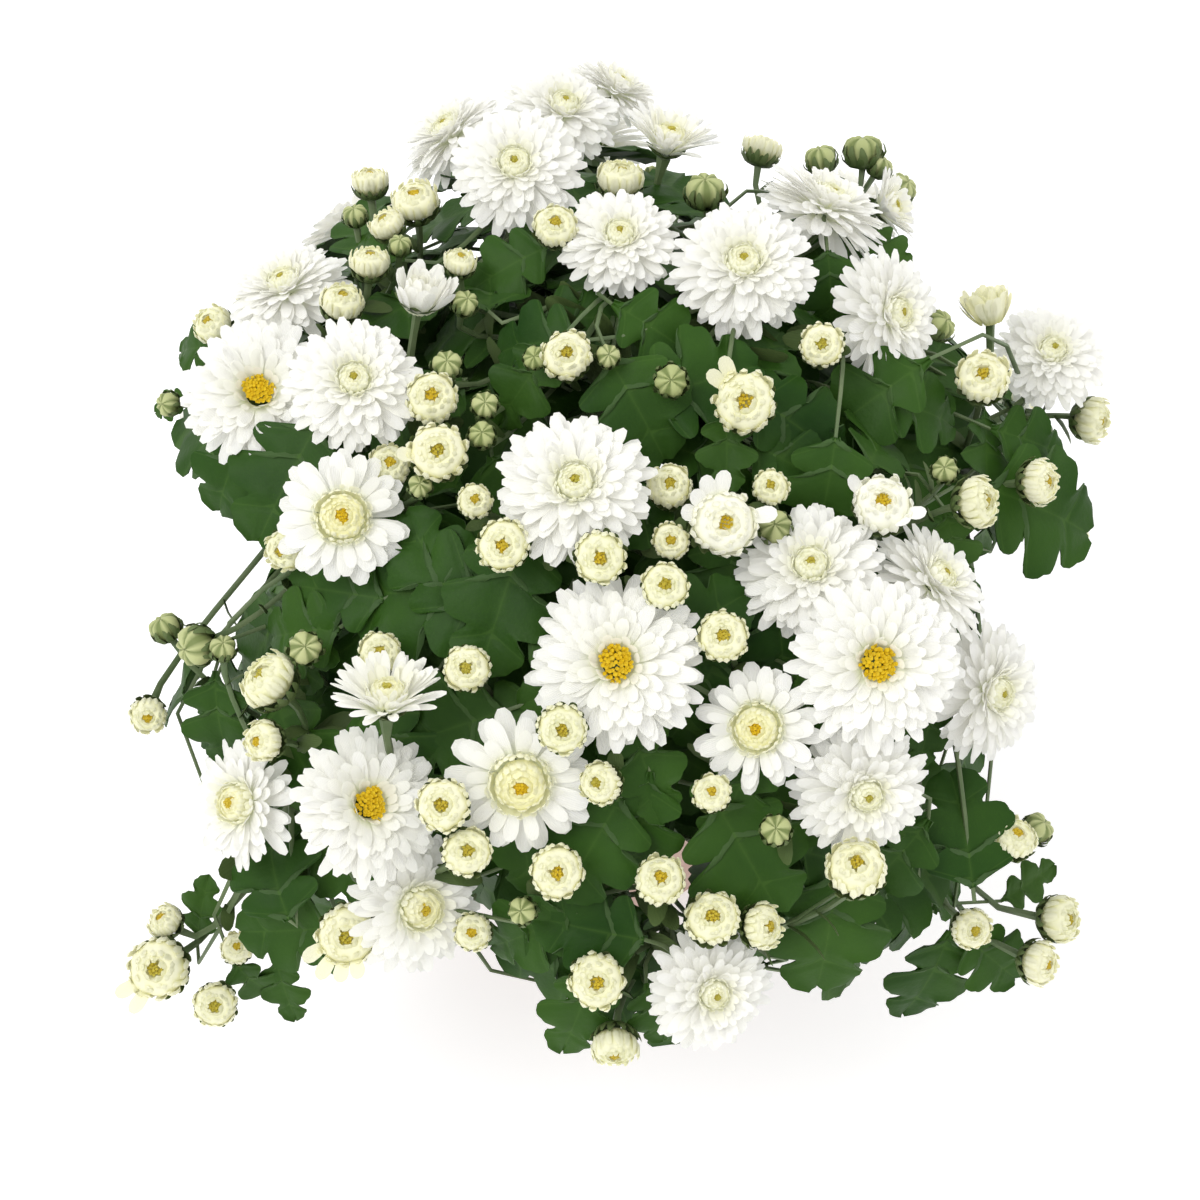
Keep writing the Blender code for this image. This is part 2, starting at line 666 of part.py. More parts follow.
def band(bm, low, high):
    """Four-sided faces between two rings of as many corners."""
    for step in range(len(low)):
        after = (step + 1) % len(low)
        bm.faces.new((low[step], low[after], high[after], high[step]))


def bud_mesh(bud, shift, root, lines):
    """A three-sided stalk from the nearest branch of its cutting, that widens into a six-sided bud."""
    stage, middle, direction, radius = bud[:4]
    middle = middle + facing(middle, 0, 0) * shift
    depth = radius * (1.5 if stage == "button" else 1.8)
    base = middle - direction * depth / 2
    start = stalk_root(lines, base - direction * STALK_LENGTH, root, base, direction)
    way = (base - start).normalized()
    across = (way + direction).orthogonal()
    bm = bmesh.new()
    foot = ring(bm, start, way, across, STALK_RADIUS, 3)
    neck = ring(bm, base, direction, across, STALK_RADIUS, 3)
    waist = ring(bm, middle + direction * depth * 0.08, direction, across, radius, 6)
    top_radius = radius * (0.80 if stage == "button" else 0.45)
    crown = ring(bm, middle + direction * depth / 2, direction, across, top_radius, 6)
    band(bm, foot, neck)
    band(bm, waist, crown)
    for step in range(3):
        after = (step + 1) % 3
        ahead = waist[2 * step + 1]
        bm.faces.new((neck[step], waist[2 * step], ahead))
        bm.faces.new((neck[step], ahead, neck[after]))
        bm.faces.new((neck[after], ahead, waist[2 * after]))
    bm.faces.new(foot)
    bm.faces.new(crown)
    return finished_mesh("bud", bm)


# Leaves


def leaf_mesh(root, base, tip_way, normal, length, slim=False):
    """A lobed blade, thickest along its rib, with a three-sided stalk from root to its base.

    Both faces are split into the same triangles, so that they stay apart where the blade is waved.
    """
    bm = bmesh.new()
    side = tip_way.cross(normal).normalized()
    normal = side.cross(tip_way).normalized()
    half = normal * LEAF_THICKNESS / 2

    def on_blade(across, along):
        drop = -LEAF_ARCH * along * along + LEAF_FOLD * abs(across)
        return base + (side * across + tip_way * along + normal * drop) * length

    reach = 0.9 * MM
    above = side.cross(base - root).normalized()
    foot = [bm.verts.new(root + step) for step in (-side * reach, above * reach * 1.4, side * reach)]
    tip = bm.verts.new(on_blade(0, 1))
    edge, fans = (SLIM_EDGE, SLIM_FANS) if slim else (LEAF_EDGE, LEAF_FANS)
    left, right = ([bm.verts.new(on_blade(x * hand, y)) for x, y in edge] + [tip] for hand in (-1, 1))
    top, under = ([bm.verts.new(on_blade(0, y) + lift) for y in LEAF_RIB] for lift in (half, -half))
    for rib in (top, under):
        for rim in (left, right):
            for corner, start in fans:
                bm.faces.new((rib[corner], rim[start], rim[start + 1]))
            bm.faces.new((rib[0], rib[1], rim[1 if slim else 2]))
    bm.faces.new((left[0], under[0], right[0]))
    band(bm, foot, [left[0], top[0], right[0]])
    bm.faces.new(foot)
    return finished_mesh("leaf", bm)


def leaf_places():
    """(middle, way of the tip, normal, length) of each leaf: those seen, then a shell of others."""
    places = []
    right, up, back = view_axes()
    for across, down, length, clock in LEAVES:
        middle = canopy_point(across, down, LEAF_LIFT)
        normal = (canopy_normal(middle) + facing(middle, 0, 0) * 1.3).normalized()
        way = right * math.cos(math.radians(clock)) + up * math.sin(math.radians(clock))
        places.append((middle, way, normal, length * MM, False))
    draw = random.Random(SEED)
    golden = math.pi * (3 - math.sqrt(5))
    for step in range(SHELL_LEAVES):
        height = 0.92 - 1.30 * step / SHELL_LEAVES
        turn = golden * step
        run = math.sqrt(1 - height * height)
        share = Vector((math.cos(turn) * run, math.sin(turn) * run, height))
        swing, length = draw.uniform(-0.9, 0.9), SHELL_LEAF_LENGTH * draw.uniform(0.85, 1.1)
        for depth in SHELL_DEPTHS:
            middle = CANOPY_CENTRE + Vector([share[i] * CANOPY_RADII[i] * depth for i in range(3)])
            normal = (canopy_normal(middle) + Vector((0, 0, 0.5))).normalized()
            outward = Vector((share.x, share.y, 0)).normalized()
            way = Matrix.Rotation(swing, 3, normal) @ outward
            side = way.cross(normal).normalized() * 0.7
            if all(in_the_bush(middle + step * length / 2) for step in (way, -way, side, -side)):
                places.append((middle, way, normal, length, True))
                break
    return places


def leaf_choice(place, step, lines):
    """A leaf at one of the places that it may take: deeper in and swung to the sides by turns."""
    middle, way, normal, length, slim = place
    way = (way - normal * way.dot(normal)).normalized()
    way = Matrix.Rotation((0.0, 0.35, -0.35)[step % 3], 3, normal) @ way
    base = middle - normal * LEAF_STEP * (step // 3) - way * length / 2
    root = stalk_root(lines, base - way * 8 * MM - normal * 10 * MM, 0.9, base, way)
    return leaf_mesh(root, base, way, normal, length, slim)


# Keeping pieces clear of each other


def tree_of(mesh, matrix=None, skip=0):
    """A mesh's faces for crossing tests, without those that use its first few corners."""
    matrix = matrix or Matrix.Identity(4)
    points = [matrix @ vert.co for vert in mesh.vertices]
    faces = [tuple(face.vertices) for face in mesh.polygons if min(face.vertices) >= skip]
    return BVHTree.FromPolygons(points, faces)


def tree_of_result(obj):
    """The tree of an object as its modifiers leave it."""
    bpy.context.view_layer.update()
    mesh = bpy.data.meshes.new_from_object(obj.evaluated_get(bpy.context.evaluated_depsgraph_get()))
    tree = tree_of(mesh, obj.matrix_world)
    bpy.data.meshes.remove(mesh)
    return tree


def first_clear(choices, others, own=()):
    """The first of some meshes that is clear of the other pieces, and if it can be, of its own stem.

    Its stalk, which holds the mesh's first three corners, may cross its own stem.
    """
    spare = None
    for mesh in choices:
        tree = tree_of(mesh)
        if not any(tree.overlap(other) for other in others):
            head = tree_of(mesh, skip=3)
            if not any(head.overlap(other) for other in own):
                return mesh, tree
            spare = spare or (mesh, tree)
    return spare or (None, None)


def join_parts(name, meshes, collection, finish):
    """One object from meshes that grow into each other: the first, and a union with the rest."""
    rest = new_collection(name + "_parts")
    for mesh in meshes[1:]:
        mesh_object("grown_on", mesh, rest, finish)
    trunk = mesh_object(name + "_trunk", meshes[0], collection, finish)
    union = trunk.modifiers.new("grow together", "BOOLEAN")
    union.operation = "UNION"
    union.solver = "MANIFOLD"
    union.operand_type = "COLLECTION"
    union.collection = rest
    bpy.context.view_layer.update()
    graph = bpy.context.evaluated_depsgraph_get()
    mesh = bpy.data.meshes.new_from_object(trunk.evaluated_get(graph))
    for obj in [trunk, *rest.objects]:
        bpy.data.objects.remove(obj)
    bpy.data.collections.remove(rest)
    keep_outside(mesh)
    stem = mesh_object(name, mesh, collection, finish)
    slivers = stem.modifiers.new("take out slivers", "DECIMATE")
    slivers.ratio = SLIVER_SHARE
    return stem


def keep_outside(mesh):
    """Removes the faces of pockets that parts crossing each other have closed off inside."""
    bm = bmesh.new()
    bm.from_mesh(mesh)
    left = set(bm.faces)
    shells = []
    while left:
        front = [left.pop()]
        shell = list(front)
        while front:
            near = {face for edge in front.pop().edges for face in edge.link_faces} & left
            left -= near
            front.extend(near)
            shell.extend(near)
        shells.append(shell)
    shells.sort(key=len)
    inner = [face for shell in shells[:-1] for face in shell]
    bmesh.ops.delete(bm, geom=inner, context="FACES")
    bmesh.ops.triangulate(bm, faces=bm.faces)
    bm.to_mesh(mesh)
    bm.free()


def cutting_branches(base, own, others):
    """Lines and tubes of one cutting: its stem up to the first head, and a branch to each other."""
    up = Vector((0, 0, 1))
    foot = Vector((base.x, base.y, SOIL_TOP - STEM_DEPTH))
    collar = Vector((base.x, base.y, SOIL_TOP + 8 * MM))
    lines, meshes, trees = [], [], []
    for step, (seat, direction, radius, _) in enumerate(own):
        found = []
        for sag in BRANCH_SAGS:
            for shift in BRANCH_SHIFTS:
                if step:
                    share = max(0.05, 0.15 + 0.45 * step / len(own) + shift)
                    start, way = point_along(lines[0], share)
                    start_way = (way + (seat - start).normalized()).normalized()
                    line = branch_line(start, start_way, seat, direction, sag)
                    radii = branch_radii(line, BRANCH_RADIUS, radius)
                else:
                    line = branch_line(collar, up, seat, direction, sag)
                    radii = [STEM_RADIUS, *branch_radii(line, STEM_RADIUS, radius)]
                    line = [foot, *line]
                found.append((line, radii))
        tubes = [tube_mesh(line, radii) for line, radii in found]
        mesh, tree = first_clear(tubes, others)
        line = found[tubes.index(mesh)][0]
        lines.append(line if step else line[1:])
        meshes.append(mesh)
        trees.append(tree)
    return lines, meshes, trees


def build():
    clear_scene()
    plant = new_collection("pot_chrysanthemum")
    cutters = new_collection("cutters")
    cutters.hide_render = True
    white = material("petal white", WHITE, 0.55)
    yellow = material("disc yellow", YELLOW, 0.8)
    green = material("leaf green", GREEN, 0.5)
    bases = cutting_bases()
    pot = make_pot(plant, cutters, material("pot plastic", POT_COLOUR, 0.6))
    soil = make_soil(plant, cutters, material("potting soil", SOIL_COLOUR, 0.95), bases)

    draw = random.Random(SEED)
    heads = []
    fixed = [tree_of_result(pot), tree_of_result(soil)]
    for index, (kind, middle, direction, radius) in enumerate(head_places(BLOOMS, FAR_BLOOMS), 1):
        name, turn = f"bloom_{index:02d}", draw.uniform(0, 3)
        bloom, seat = make_bloom(name, kind, middle, direction, radius, turn, plant, white)
        heads.append((seat, direction, radius, cutting_of(seat, bases)))
        fixed.append(tree_of(bloom.data, bloom.matrix_world))
        if kind == "open":
            make_disc(f"disc_{index:02d}", bloom, radius, plant, yellow)

    lines, meshes, trees = [], [], []
    for index, base in enumerate(bases):
        own = [head for head in heads if head[3] == index]
        middle = sum((head[0] for head in own), Vector()) / len(own)
        own.sort(key=lambda head: (head[0] - middle).length)
        others = fixed + [tree for other in trees for tree in other]
        own_lines, own_meshes, own_trees = cutting_branches(base, own, others)
        lines.append(own_lines)
        meshes.append(own_meshes)
        trees.append(own_trees)
    for bud in head_places(BUDS, FAR_BUDS):
        index = cutting_of(bud[1], bases)
        others = fixed + [tree for i, other in enumerate(trees) if i != index for tree in other]
        choices = (bud_mesh(bud, shift, root, lines[index]) for root in BUD_ROOTS for shift in BUD_SHIFTS)
        mesh, tree = first_clear(choices, others, trees[index])
        meshes[index].append(mesh)
        trees[index].append(tree)
    for place in leaf_places():
        index = cutting_of(place[0], bases)
        others = fixed + [tree for i, other in enumerate(trees) if i != index for tree in other]
        choices = (leaf_choice(place, step, lines[index]) for step in range(LEAF_TRIES))
        mesh, tree = first_clear(choices, others, trees[index])
        if mesh:
            meshes[index].append(mesh)
            trees[index].append(tree)
    for index, own_meshes in enumerate(meshes, 1):
        join_parts(f"leafy_stem_{index}", own_meshes, plant, green)


build()
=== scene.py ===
"""Looks of a pot chrysanthemum in white flower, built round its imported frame. Metres, +Z up."""

import math
import random

import bmesh
import bpy
from mathutils import Matrix, Vector, noise


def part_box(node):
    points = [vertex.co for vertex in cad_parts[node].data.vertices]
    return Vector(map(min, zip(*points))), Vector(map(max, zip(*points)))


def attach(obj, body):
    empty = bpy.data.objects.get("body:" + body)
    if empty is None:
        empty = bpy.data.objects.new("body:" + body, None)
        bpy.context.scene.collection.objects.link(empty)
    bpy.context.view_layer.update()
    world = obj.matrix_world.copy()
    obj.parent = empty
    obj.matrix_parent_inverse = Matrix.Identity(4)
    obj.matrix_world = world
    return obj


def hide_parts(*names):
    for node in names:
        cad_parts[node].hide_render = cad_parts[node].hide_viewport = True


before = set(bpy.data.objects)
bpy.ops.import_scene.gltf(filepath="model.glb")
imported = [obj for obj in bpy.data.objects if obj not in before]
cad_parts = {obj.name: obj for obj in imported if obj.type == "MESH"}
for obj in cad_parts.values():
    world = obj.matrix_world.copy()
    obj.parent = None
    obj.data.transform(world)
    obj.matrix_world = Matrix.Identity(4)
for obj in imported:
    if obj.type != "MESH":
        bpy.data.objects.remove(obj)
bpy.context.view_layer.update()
MM = 0.001

# The view: the plant stands on a pale table and is looked at from the front, 56 degrees down.
# Heads, buds and leaves are placed further on by where they show in it, in pixels of a square
# frame 1200 wide, on a dome that is the outside of the whole bush.
VIEW_ELEVATION = math.radians(56)
VIEW_DISTANCE = 850 * MM
VIEW_SPAN = 426 * MM
VIEW_PIXELS = 1200
VIEW_AIM = Vector((-3.5 * MM, -8.0 * MM, 168 * MM))
SENSOR = 36.0


def view_axes():
    """Right, up and back (towards the viewer) in the plant's frame."""
    rise, run = math.sin(VIEW_ELEVATION), math.cos(VIEW_ELEVATION)
    return Vector((1, 0, 0)), Vector((0, rise, run)), Vector((0, -run, rise))


def new_finish(name, values):
    """A material, its node tree and its shader, with some of the shader's inputs set."""
    made = bpy.data.materials.new(name)
    made.use_nodes = True
    shader = made.node_tree.nodes["Principled BSDF"]
    for socket, value in values.items():
        shader.inputs[socket].default_value = value
    return made, made.node_tree, shader


VIEW_EYE = VIEW_AIM + view_axes()[2] * VIEW_DISTANCE
bpy.ops.object.camera_add(location=VIEW_EYE, rotation=(math.pi / 2 - VIEW_ELEVATION, 0, 0))
camera = bpy.context.object
camera.name = "view_camera"
camera.data.sensor_width = SENSOR
camera.data.lens = SENSOR * VIEW_DISTANCE / VIEW_SPAN
bpy.context.scene.camera = camera
bpy.context.scene.view_settings.view_transform = "Standard"

bpy.ops.mesh.primitive_plane_add(size=6)
table_top = bpy.context.object
table_top.name = "table_top"
paper, _, _ = new_finish("pale table", {
    "Base Color": (0.95, 0.95, 0.95, 1), "Roughness": 0.9,
    "Emission Color": (1, 1, 1, 1), "Emission Strength": 0.35,
})
table_top.data.materials.append(paper)

# Light: a white room, a broad soft lamp over the viewer's left shoulder and a weaker one behind.
world = bpy.data.worlds.new("white room")
bpy.context.scene.world = world
world.use_nodes = True
world.node_tree.nodes["Background"].inputs["Color"].default_value = (1.0, 1.0, 1.0, 1)
world.node_tree.nodes["Background"].inputs["Strength"].default_value = 0.86


def soft_lamp(name, place, size, power):
    """A square lamp that faces the middle of the bush."""
    bpy.ops.object.light_add(type="AREA", location=place)
    lamp = bpy.context.object
    lamp.name = name
    lamp.rotation_euler = (VIEW_AIM - Vector(place)).to_track_quat("-Z", "Y").to_euler()
    lamp.data.size = size
    lamp.data.energy = power


soft_lamp("key_lamp", (-0.7, -0.5, 1.7), 0.8, 10)
soft_lamp("back_lamp", (0.9, 0.8, 1.5), 1.2, 3)

# Pot: one piece of matt pinkish-brown plastic, injection moulded, with a rim band that stands
# proud of the tapered wall, a thin lip, and four drain holes through its floor.
POT_SIDES = 96
POT_WALL = 2.5 * MM
POT_FLOOR = 4 * MM
RIM_BAND = 17 * MM
RIM_STEP = 3.5 * MM
BASE_SHARE = 0.69
DRAIN_HOLES = 4
DRAIN_RADIUS = 4 * MM
DRAIN_RING = 26 * MM
POT_PINK = (0.50, 0.315, 0.255)
POT_DUST = (0.56, 0.40, 0.335)
pot_low, pot_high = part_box("pot")
POT_HEIGHT = pot_high.z
POT_LIP_RADIUS = (pot_high.x - pot_low.x) / 2
POT_RIM_RADIUS = POT_LIP_RADIUS - 1 * MM
POT_BASE_RADIUS = POT_LIP_RADIUS * BASE_SHARE
BAND_LOW = POT_HEIGHT - RIM_BAND


def drawn_up(name, profile, sides):
    """A round piece drawn out of a circle ring by ring; the profile holds (radius, height)."""
    bpy.ops.object.select_all(action="DESELECT")
    radius, height = profile[0]
    bpy.ops.mesh.primitive_circle_add(vertices=sides, radius=radius, location=(0, 0, height))
    piece = bpy.context.object
    piece.name = name
    bpy.ops.object.transform_apply(location=True, rotation=True, scale=True)
    bpy.ops.object.mode_set(mode="EDIT")
    bpy.ops.mesh.select_all(action="SELECT")
    bpy.ops.mesh.edge_face_add()
    for (radius, height), (next_radius, next_height) in zip(profile, profile[1:]):
        bpy.ops.mesh.extrude_region_move(TRANSFORM_OT_translate={"value": (0, 0, next_height - height)})
        share = next_radius / radius
        bpy.ops.transform.resize(value=(share, share, 1), center_override=(0, 0, next_height))
    bpy.ops.mesh.select_all(action="SELECT")
    bpy.ops.mesh.normals_make_consistent(inside=False)
    bpy.ops.object.mode_set(mode="OBJECT")
    return piece


def apply_all(piece):
    """Applies a piece's modifiers in order."""
    bpy.ops.object.select_all(action="DESELECT")
    piece.select_set(True)
    bpy.context.view_layer.objects.active = piece
    for modifier in list(piece.modifiers):
        bpy.ops.object.modifier_apply(modifier=modifier.name)


def new_node(tree, kind, values):
    """A shader node with some of its inputs set."""
    made = tree.nodes.new("ShaderNode" + kind)
    for socket, value in values.items():
        made.inputs[socket].default_value = value
    return made


def wire(tree, links):
    """Joins sockets, each link as (node, its output, next node, its input)."""
    for node, output, after, socket in links:
        tree.links.new(node.outputs[output], after.inputs[socket])


def drifting(tree, place, scale, detail, stops):
    """A ramp whose colour drifts over the object between two stops, each (position, colour)."""
    drift = new_node(tree, "TexNoise", {"Scale": scale, "Detail": detail})
    ramp = new_node(tree, "ValToRGB", {})
    for stop, (position, colour) in zip(ramp.color_ramp.elements, stops):
        stop.position = position
        stop.color = (*colour, 1)
    wire(tree, ((place, "Object", drift, "Vector"), (drift, "Fac", ramp, "Fac")))
    return ramp


def raised(tree, shader, relief_map, strength, depth):
    """Raises the surface by what a node puts out, given as (node, output)."""
    bump = new_node(tree, "Bump", {"Strength": strength, "Distance": depth})
    wire(tree, ((*relief_map, bump, "Height"), (bump, "Normal", shader, "Normal")))


def speckled(name, colour, other, scale, roughness, grain, relief):
    """A finish whose colour drifts between two, with a fine raised grain."""
    made, tree, shader = new_finish(name, {"Roughness": roughness})
    place = new_node(tree, "TexCoord", {})
    ramp = drifting(tree, place, scale, 4, ((0.35, colour), (0.68, other)))
    fine = new_node(tree, "TexNoise", {"Scale": grain})
    wire(tree, ((place, "Object", fine, "Vector"), (ramp, "Color", shader, "Base Color")))
    raised(tree, shader, (fine, "Fac"), 0.35, relief)
    return made


def fix(piece, finish, slot, *nodes):
    """Gives a piece its finish, rides it on the plant, and hides the nodes it replaces. Its slot is not
    used.
    """
    if finish:
        piece.data.materials.clear()
        piece.data.materials.append(finish)
    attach(piece, "root")
    if nodes:
        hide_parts(*nodes)


body_top = POT_RIM_RADIUS - RIM_STEP
inner_top = body_top - POT_WALL
pot_wall = drawn_up("pot_wall", (
    (POT_BASE_RADIUS - 6 * MM, 1.2 * MM),
    (POT_BASE_RADIUS - 5 * MM, 0),
    (POT_BASE_RADIUS - 0.8 * MM, 0),
    (POT_BASE_RADIUS, 0.8 * MM),
    (POT_BASE_RADIUS + 0.35 * MM, 7 * MM),
    (body_top - 0.2 * MM, BAND_LOW - 3 * MM),
    (body_top, BAND_LOW - 1 * MM),
    (POT_RIM_RADIUS, BAND_LOW),
    (POT_RIM_RADIUS + 0.25 * MM, BAND_LOW + 1 * MM),
    (POT_LIP_RADIUS - 0.3 * MM, POT_HEIGHT - 2.2 * MM),
    (POT_LIP_RADIUS, POT_HEIGHT - 1 * MM),
    (POT_LIP_RADIUS - 0.6 * MM, POT_HEIGHT),
    (inner_top + RIM_STEP * 0.6, POT_HEIGHT),
    (inner_top + RIM_STEP * 0.4, POT_HEIGHT - 1 * MM),
    (inner_top, BAND_LOW),
    (POT_BASE_RADIUS - POT_WALL, POT_FLOOR + 1 * MM),
    (POT_BASE_RADIUS - POT_WALL - 1 * MM, POT_FLOOR),
), POT_SIDES)
for step in range(DRAIN_HOLES):
    turn = 2 * math.pi * (step + 0.5) / DRAIN_HOLES
    bpy.ops.mesh.primitive_cylinder_add(
        vertices=24, radius=DRAIN_RADIUS, depth=4 * POT_FLOOR,
        location=(math.cos(turn) * DRAIN_RING, math.sin(turn) * DRAIN_RING, POT_FLOOR / 2),
    )
    drill = bpy.context.object
    hole = pot_wall.modifiers.new("drain hole", "BOOLEAN")
    hole.object = drill
    apply_all(pot_wall)
    bpy.data.objects.remove(drill)
bpy.ops.object.shade_smooth_by_angle(angle=math.radians(35))
fix(pot_wall, speckled("pot plastic", POT_PINK, POT_DUST, 40, 0.52, 900, 0.2 * MM), "pot", "pot")

# Soil: dark peaty potting mix pressed into the pot to just under its rim, with loose crumbs of
# peat and bark lying on it round the stems.
SOIL_SIDES = 60
SOIL_RINGS = 16
SOIL_RELIEF = 2.5 * MM
SOIL_GRAIN = 0.9 * MM
SOIL_CRUMBS = 260
CRUMB_SIZES = (0.7, 2.4)
CRUMB_STRETCH = (0.6, 1.3)
PEAT_DARK = (0.030, 0.019, 0.012)
PEAT_LIGHT = (0.10, 0.065, 0.042)
soil_low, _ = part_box("soil")
SOIL_RADIUS = inner_top - 0.45 * MM
SOIL_TOP = POT_HEIGHT - 13 * MM
draw = random.Random(3)


def soil_height(x, y):
    """Height of the lumpy soil, level with the frame's soil at the wall."""
    inward = 1 - math.hypot(x, y) / SOIL_RADIUS
    lump = noise.noise(Vector((x, y, SOIL_TOP)) * 60) * SOIL_RELIEF
    fine = noise.noise(Vector((x, y, 0)) * 420) * SOIL_GRAIN
    return BAND_LOW + min(1.0, inward * 6) * (SOIL_TOP - BAND_LOW + lump) + fine


potting_soil = drawn_up("potting_soil", [
    (POT_BASE_RADIUS - POT_WALL - 0.4 * MM, soil_low.z),
    *((SOIL_RADIUS * (1 - ring / SOIL_RINGS) + 0.5 * MM, POT_HEIGHT) for ring in range(SOIL_RINGS)),
], SOIL_SIDES)
for vert in potting_soil.data.vertices:
    if vert.co.z > POT_HEIGHT / 2:
        vert.co.z = soil_height(vert.co.x, vert.co.y)

crumbs = bmesh.new()
for _ in range(SOIL_CRUMBS):
    reach, turn = SOIL_RADIUS * 0.97 * math.sqrt(draw.random()), draw.uniform(0, 2 * math.pi)
    x, y = reach * math.cos(turn), reach * math.sin(turn)
    size = draw.uniform(*CRUMB_SIZES) * MM
    made = bmesh.ops.create_icosphere(crumbs, subdivisions=1, radius=size)["verts"]
    wide, long, high = draw.uniform(*CRUMB_STRETCH), draw.uniform(*CRUMB_STRETCH), draw.uniform(0.4, 0.8)
    squash = Matrix.Diagonal((wide, long, high, 1))
    lie = Matrix.Rotation(draw.uniform(0, 3), 4, (0.3, 0.4, 1))
    place = Matrix.Translation((x, y, soil_height(x, y) + size * 0.2))
    bmesh.ops.transform(crumbs, matrix=place @ lie @ squash, verts=made)
crumbs.from_mesh(potting_soil.data)
crumbs.to_mesh(potting_soil.data)
crumbs.free()
fix(potting_soil, speckled("peat", PEAT_DARK, PEAT_LIGHT, 260, 0.95, 1500, 0.8 * MM), "soil", "soil")

# Stems: six rooted cuttings, one in the middle of the pot and five round it, each a woody green
# stem with a branch to every flower head that it carries. They are ridged and a little downy.
# A head is (kind, across, down, width in mm, tilt away from the viewer, clock of that tilt, lift
# towards the viewer in mm); one on the far side is (kind, turn round the plant, height angle on
# the dome, width in mm).
CANOPY_CENTRE = Vector((0.0, 0.0, 175 * MM))
CANOPY_RADII = Vector((178 * MM, 188 * MM, 135 * MM))
CUTTING_RING = 37 * MM
CUTTING_COUNT = 5
CANOPY_RING = 105 * MM
STEM_DEPTH = 20 * MM
STEM_RADIUS = 3.2 * MM
BRANCH_RADIUS = 2.2 * MM
STALK_RADIUS = 1.3 * MM
# The straight parts of a branch, above the soil and under its head, and the steps of its bend
COLLAR = 8 * MM
NECK = 9 * MM
BRANCH_STEPS = 9
# In parts of a head's radius: its seat under its middle, the space its petals take, and its calyx
HEAD_MIDDLE = 0.25
HEAD_REACH = 0.85
HEAD_TOP = 0.5
CALYX = 0.15
# How much a head on the far side turns up from the way out of the dome
FAR_RISE = 0.35
# Where branches leave their stem, in parts of its length: the lowest, how far up the rest spread,
# and the least that a shift may leave
FIRST_BRANCH = 0.15
BRANCH_SPAN = 0.45
LEAST_BRANCH = 0.05
# Ways that a branch may bend or start to keep clear of the heads, and how clear it has to be
BRANCH_SPARE = 2 * MM
SAG_DROP = 30 * MM
BRANCH_SAGS = (0.0, 6 * MM, 12 * MM, 18 * MM)
BRANCH_SHIFTS = (0.0, 0.12, -0.12, 0.24)
BLOOMS = (
    ("double", 515, 168, 45, 25, 95, 12),
    ("double", 562, 112, 43, 50, 75, -6),
    ("double", 452, 135, 42, 65, 125, -4),
    ("double", 615, 92, 40, 76, 62, -20),
    ("cup", 668, 143, 35, 64, 75, 2),
    ("double", 620, 240, 40, 35, 90, 0),
    ("double", 743, 267, 47, 28, 85, 4),
    ("double", 825, 208, 47, 74, 62, 0),
    ("young", 886, 208, 28, 70, 20, -12),
    ("double", 888, 315, 44, 50, 12, 0),
    ("double", 1050, 355, 40, 35, 60, 0),
    ("double", 287, 290, 43, 55, 115, 0),
    ("open", 258, 392, 50, 15, 110, 0),
    ("double", 354, 383, 43, 20, 90, 12),
    ("young", 342, 517, 41, 5, 90, 4),
    ("double", 575, 487, 49, 20, 90, 6),
    ("open", 617, 663, 53, 5, 90, 0),
    ("double", 811, 570, 46, 25, 90, -5),
    ("double", 932, 583, 43, 62, 38, -4),
    ("open", 878, 663, 52, 10, 0, 15),
    ("double", 988, 692, 44, 50, 352, -8),
    ("double", 862, 790, 43, 30, 310, 0),
    ("young", 757, 728, 38, 8, 220, -3),
    ("young", 520, 783, 45, 18, 280, 0),
    ("open", 370, 804, 48, 20, 30, 3),
    ("young", 240, 803, 40, 42, 180, 0),
    ("cup", 387, 701, 36, 52, 90, 9),
    ("young", 418, 907, 42, 28, 335, -8),
    ("double", 710, 990, 40, 30, 315, 0),
    ("opening", 420, 300, 22, 60, 80, 6),
    ("opening", 722, 523, 24, 10, 0, 4),
    ("opening", 882, 507, 22, 20, 80, 4),
)
FAR_BLOOMS = (
    ("double", 58, 8, 45),
    ("double", 92, 12, 46),
    ("open", 124, 4, 47),
    ("young", 76, -8, 40),
    ("young", 150, -6, 40),
    ("young", 28, -8, 40),
)


def canopy_point(across, down, lift):
    """Where a pixel's ray meets the dome, or passes nearest to it, moved by lift towards the eye."""
    right, up, _ = view_axes()
    step, middle = VIEW_SPAN / VIEW_PIXELS, VIEW_PIXELS / 2
    seen = VIEW_AIM + right * (across - middle) * step + up * (middle - down) * step
    ray = (seen - VIEW_EYE).normalized()
    start = Vector([(VIEW_EYE[i] - CANOPY_CENTRE[i]) / CANOPY_RADII[i] for i in range(3)])
    pace = Vector([ray[i] / CANOPY_RADII[i] for i in range(3)])
    nearest = -start.dot(pace) / pace.dot(pace)
    spare = 1 - (start + pace * nearest).length_squared
    travel = nearest - math.sqrt(max(0.0, spare) / pace.dot(pace)) - lift
    return VIEW_EYE + ray * travel


def canopy_normal(point):
    """The way out of the dome at a point."""
    return Vector([(point[i] - CANOPY_CENTRE[i]) / CANOPY_RADII[i] ** 2 for i in range(3)]).normalized()


def facing(point, tilt, clock):
    """Direction tilted away from the viewer by tilt, towards a clock direction in the view."""
    right, up, _ = view_axes()
    to_eye = (VIEW_EYE - point).normalized()
    turn = right * math.cos(math.radians(clock)) + up * math.sin(math.radians(clock))
    turn = (turn - to_eye * turn.dot(to_eye)).normalized()
    return (to_eye * math.cos(math.radians(tilt)) + turn * math.sin(math.radians(tilt))).normalized()


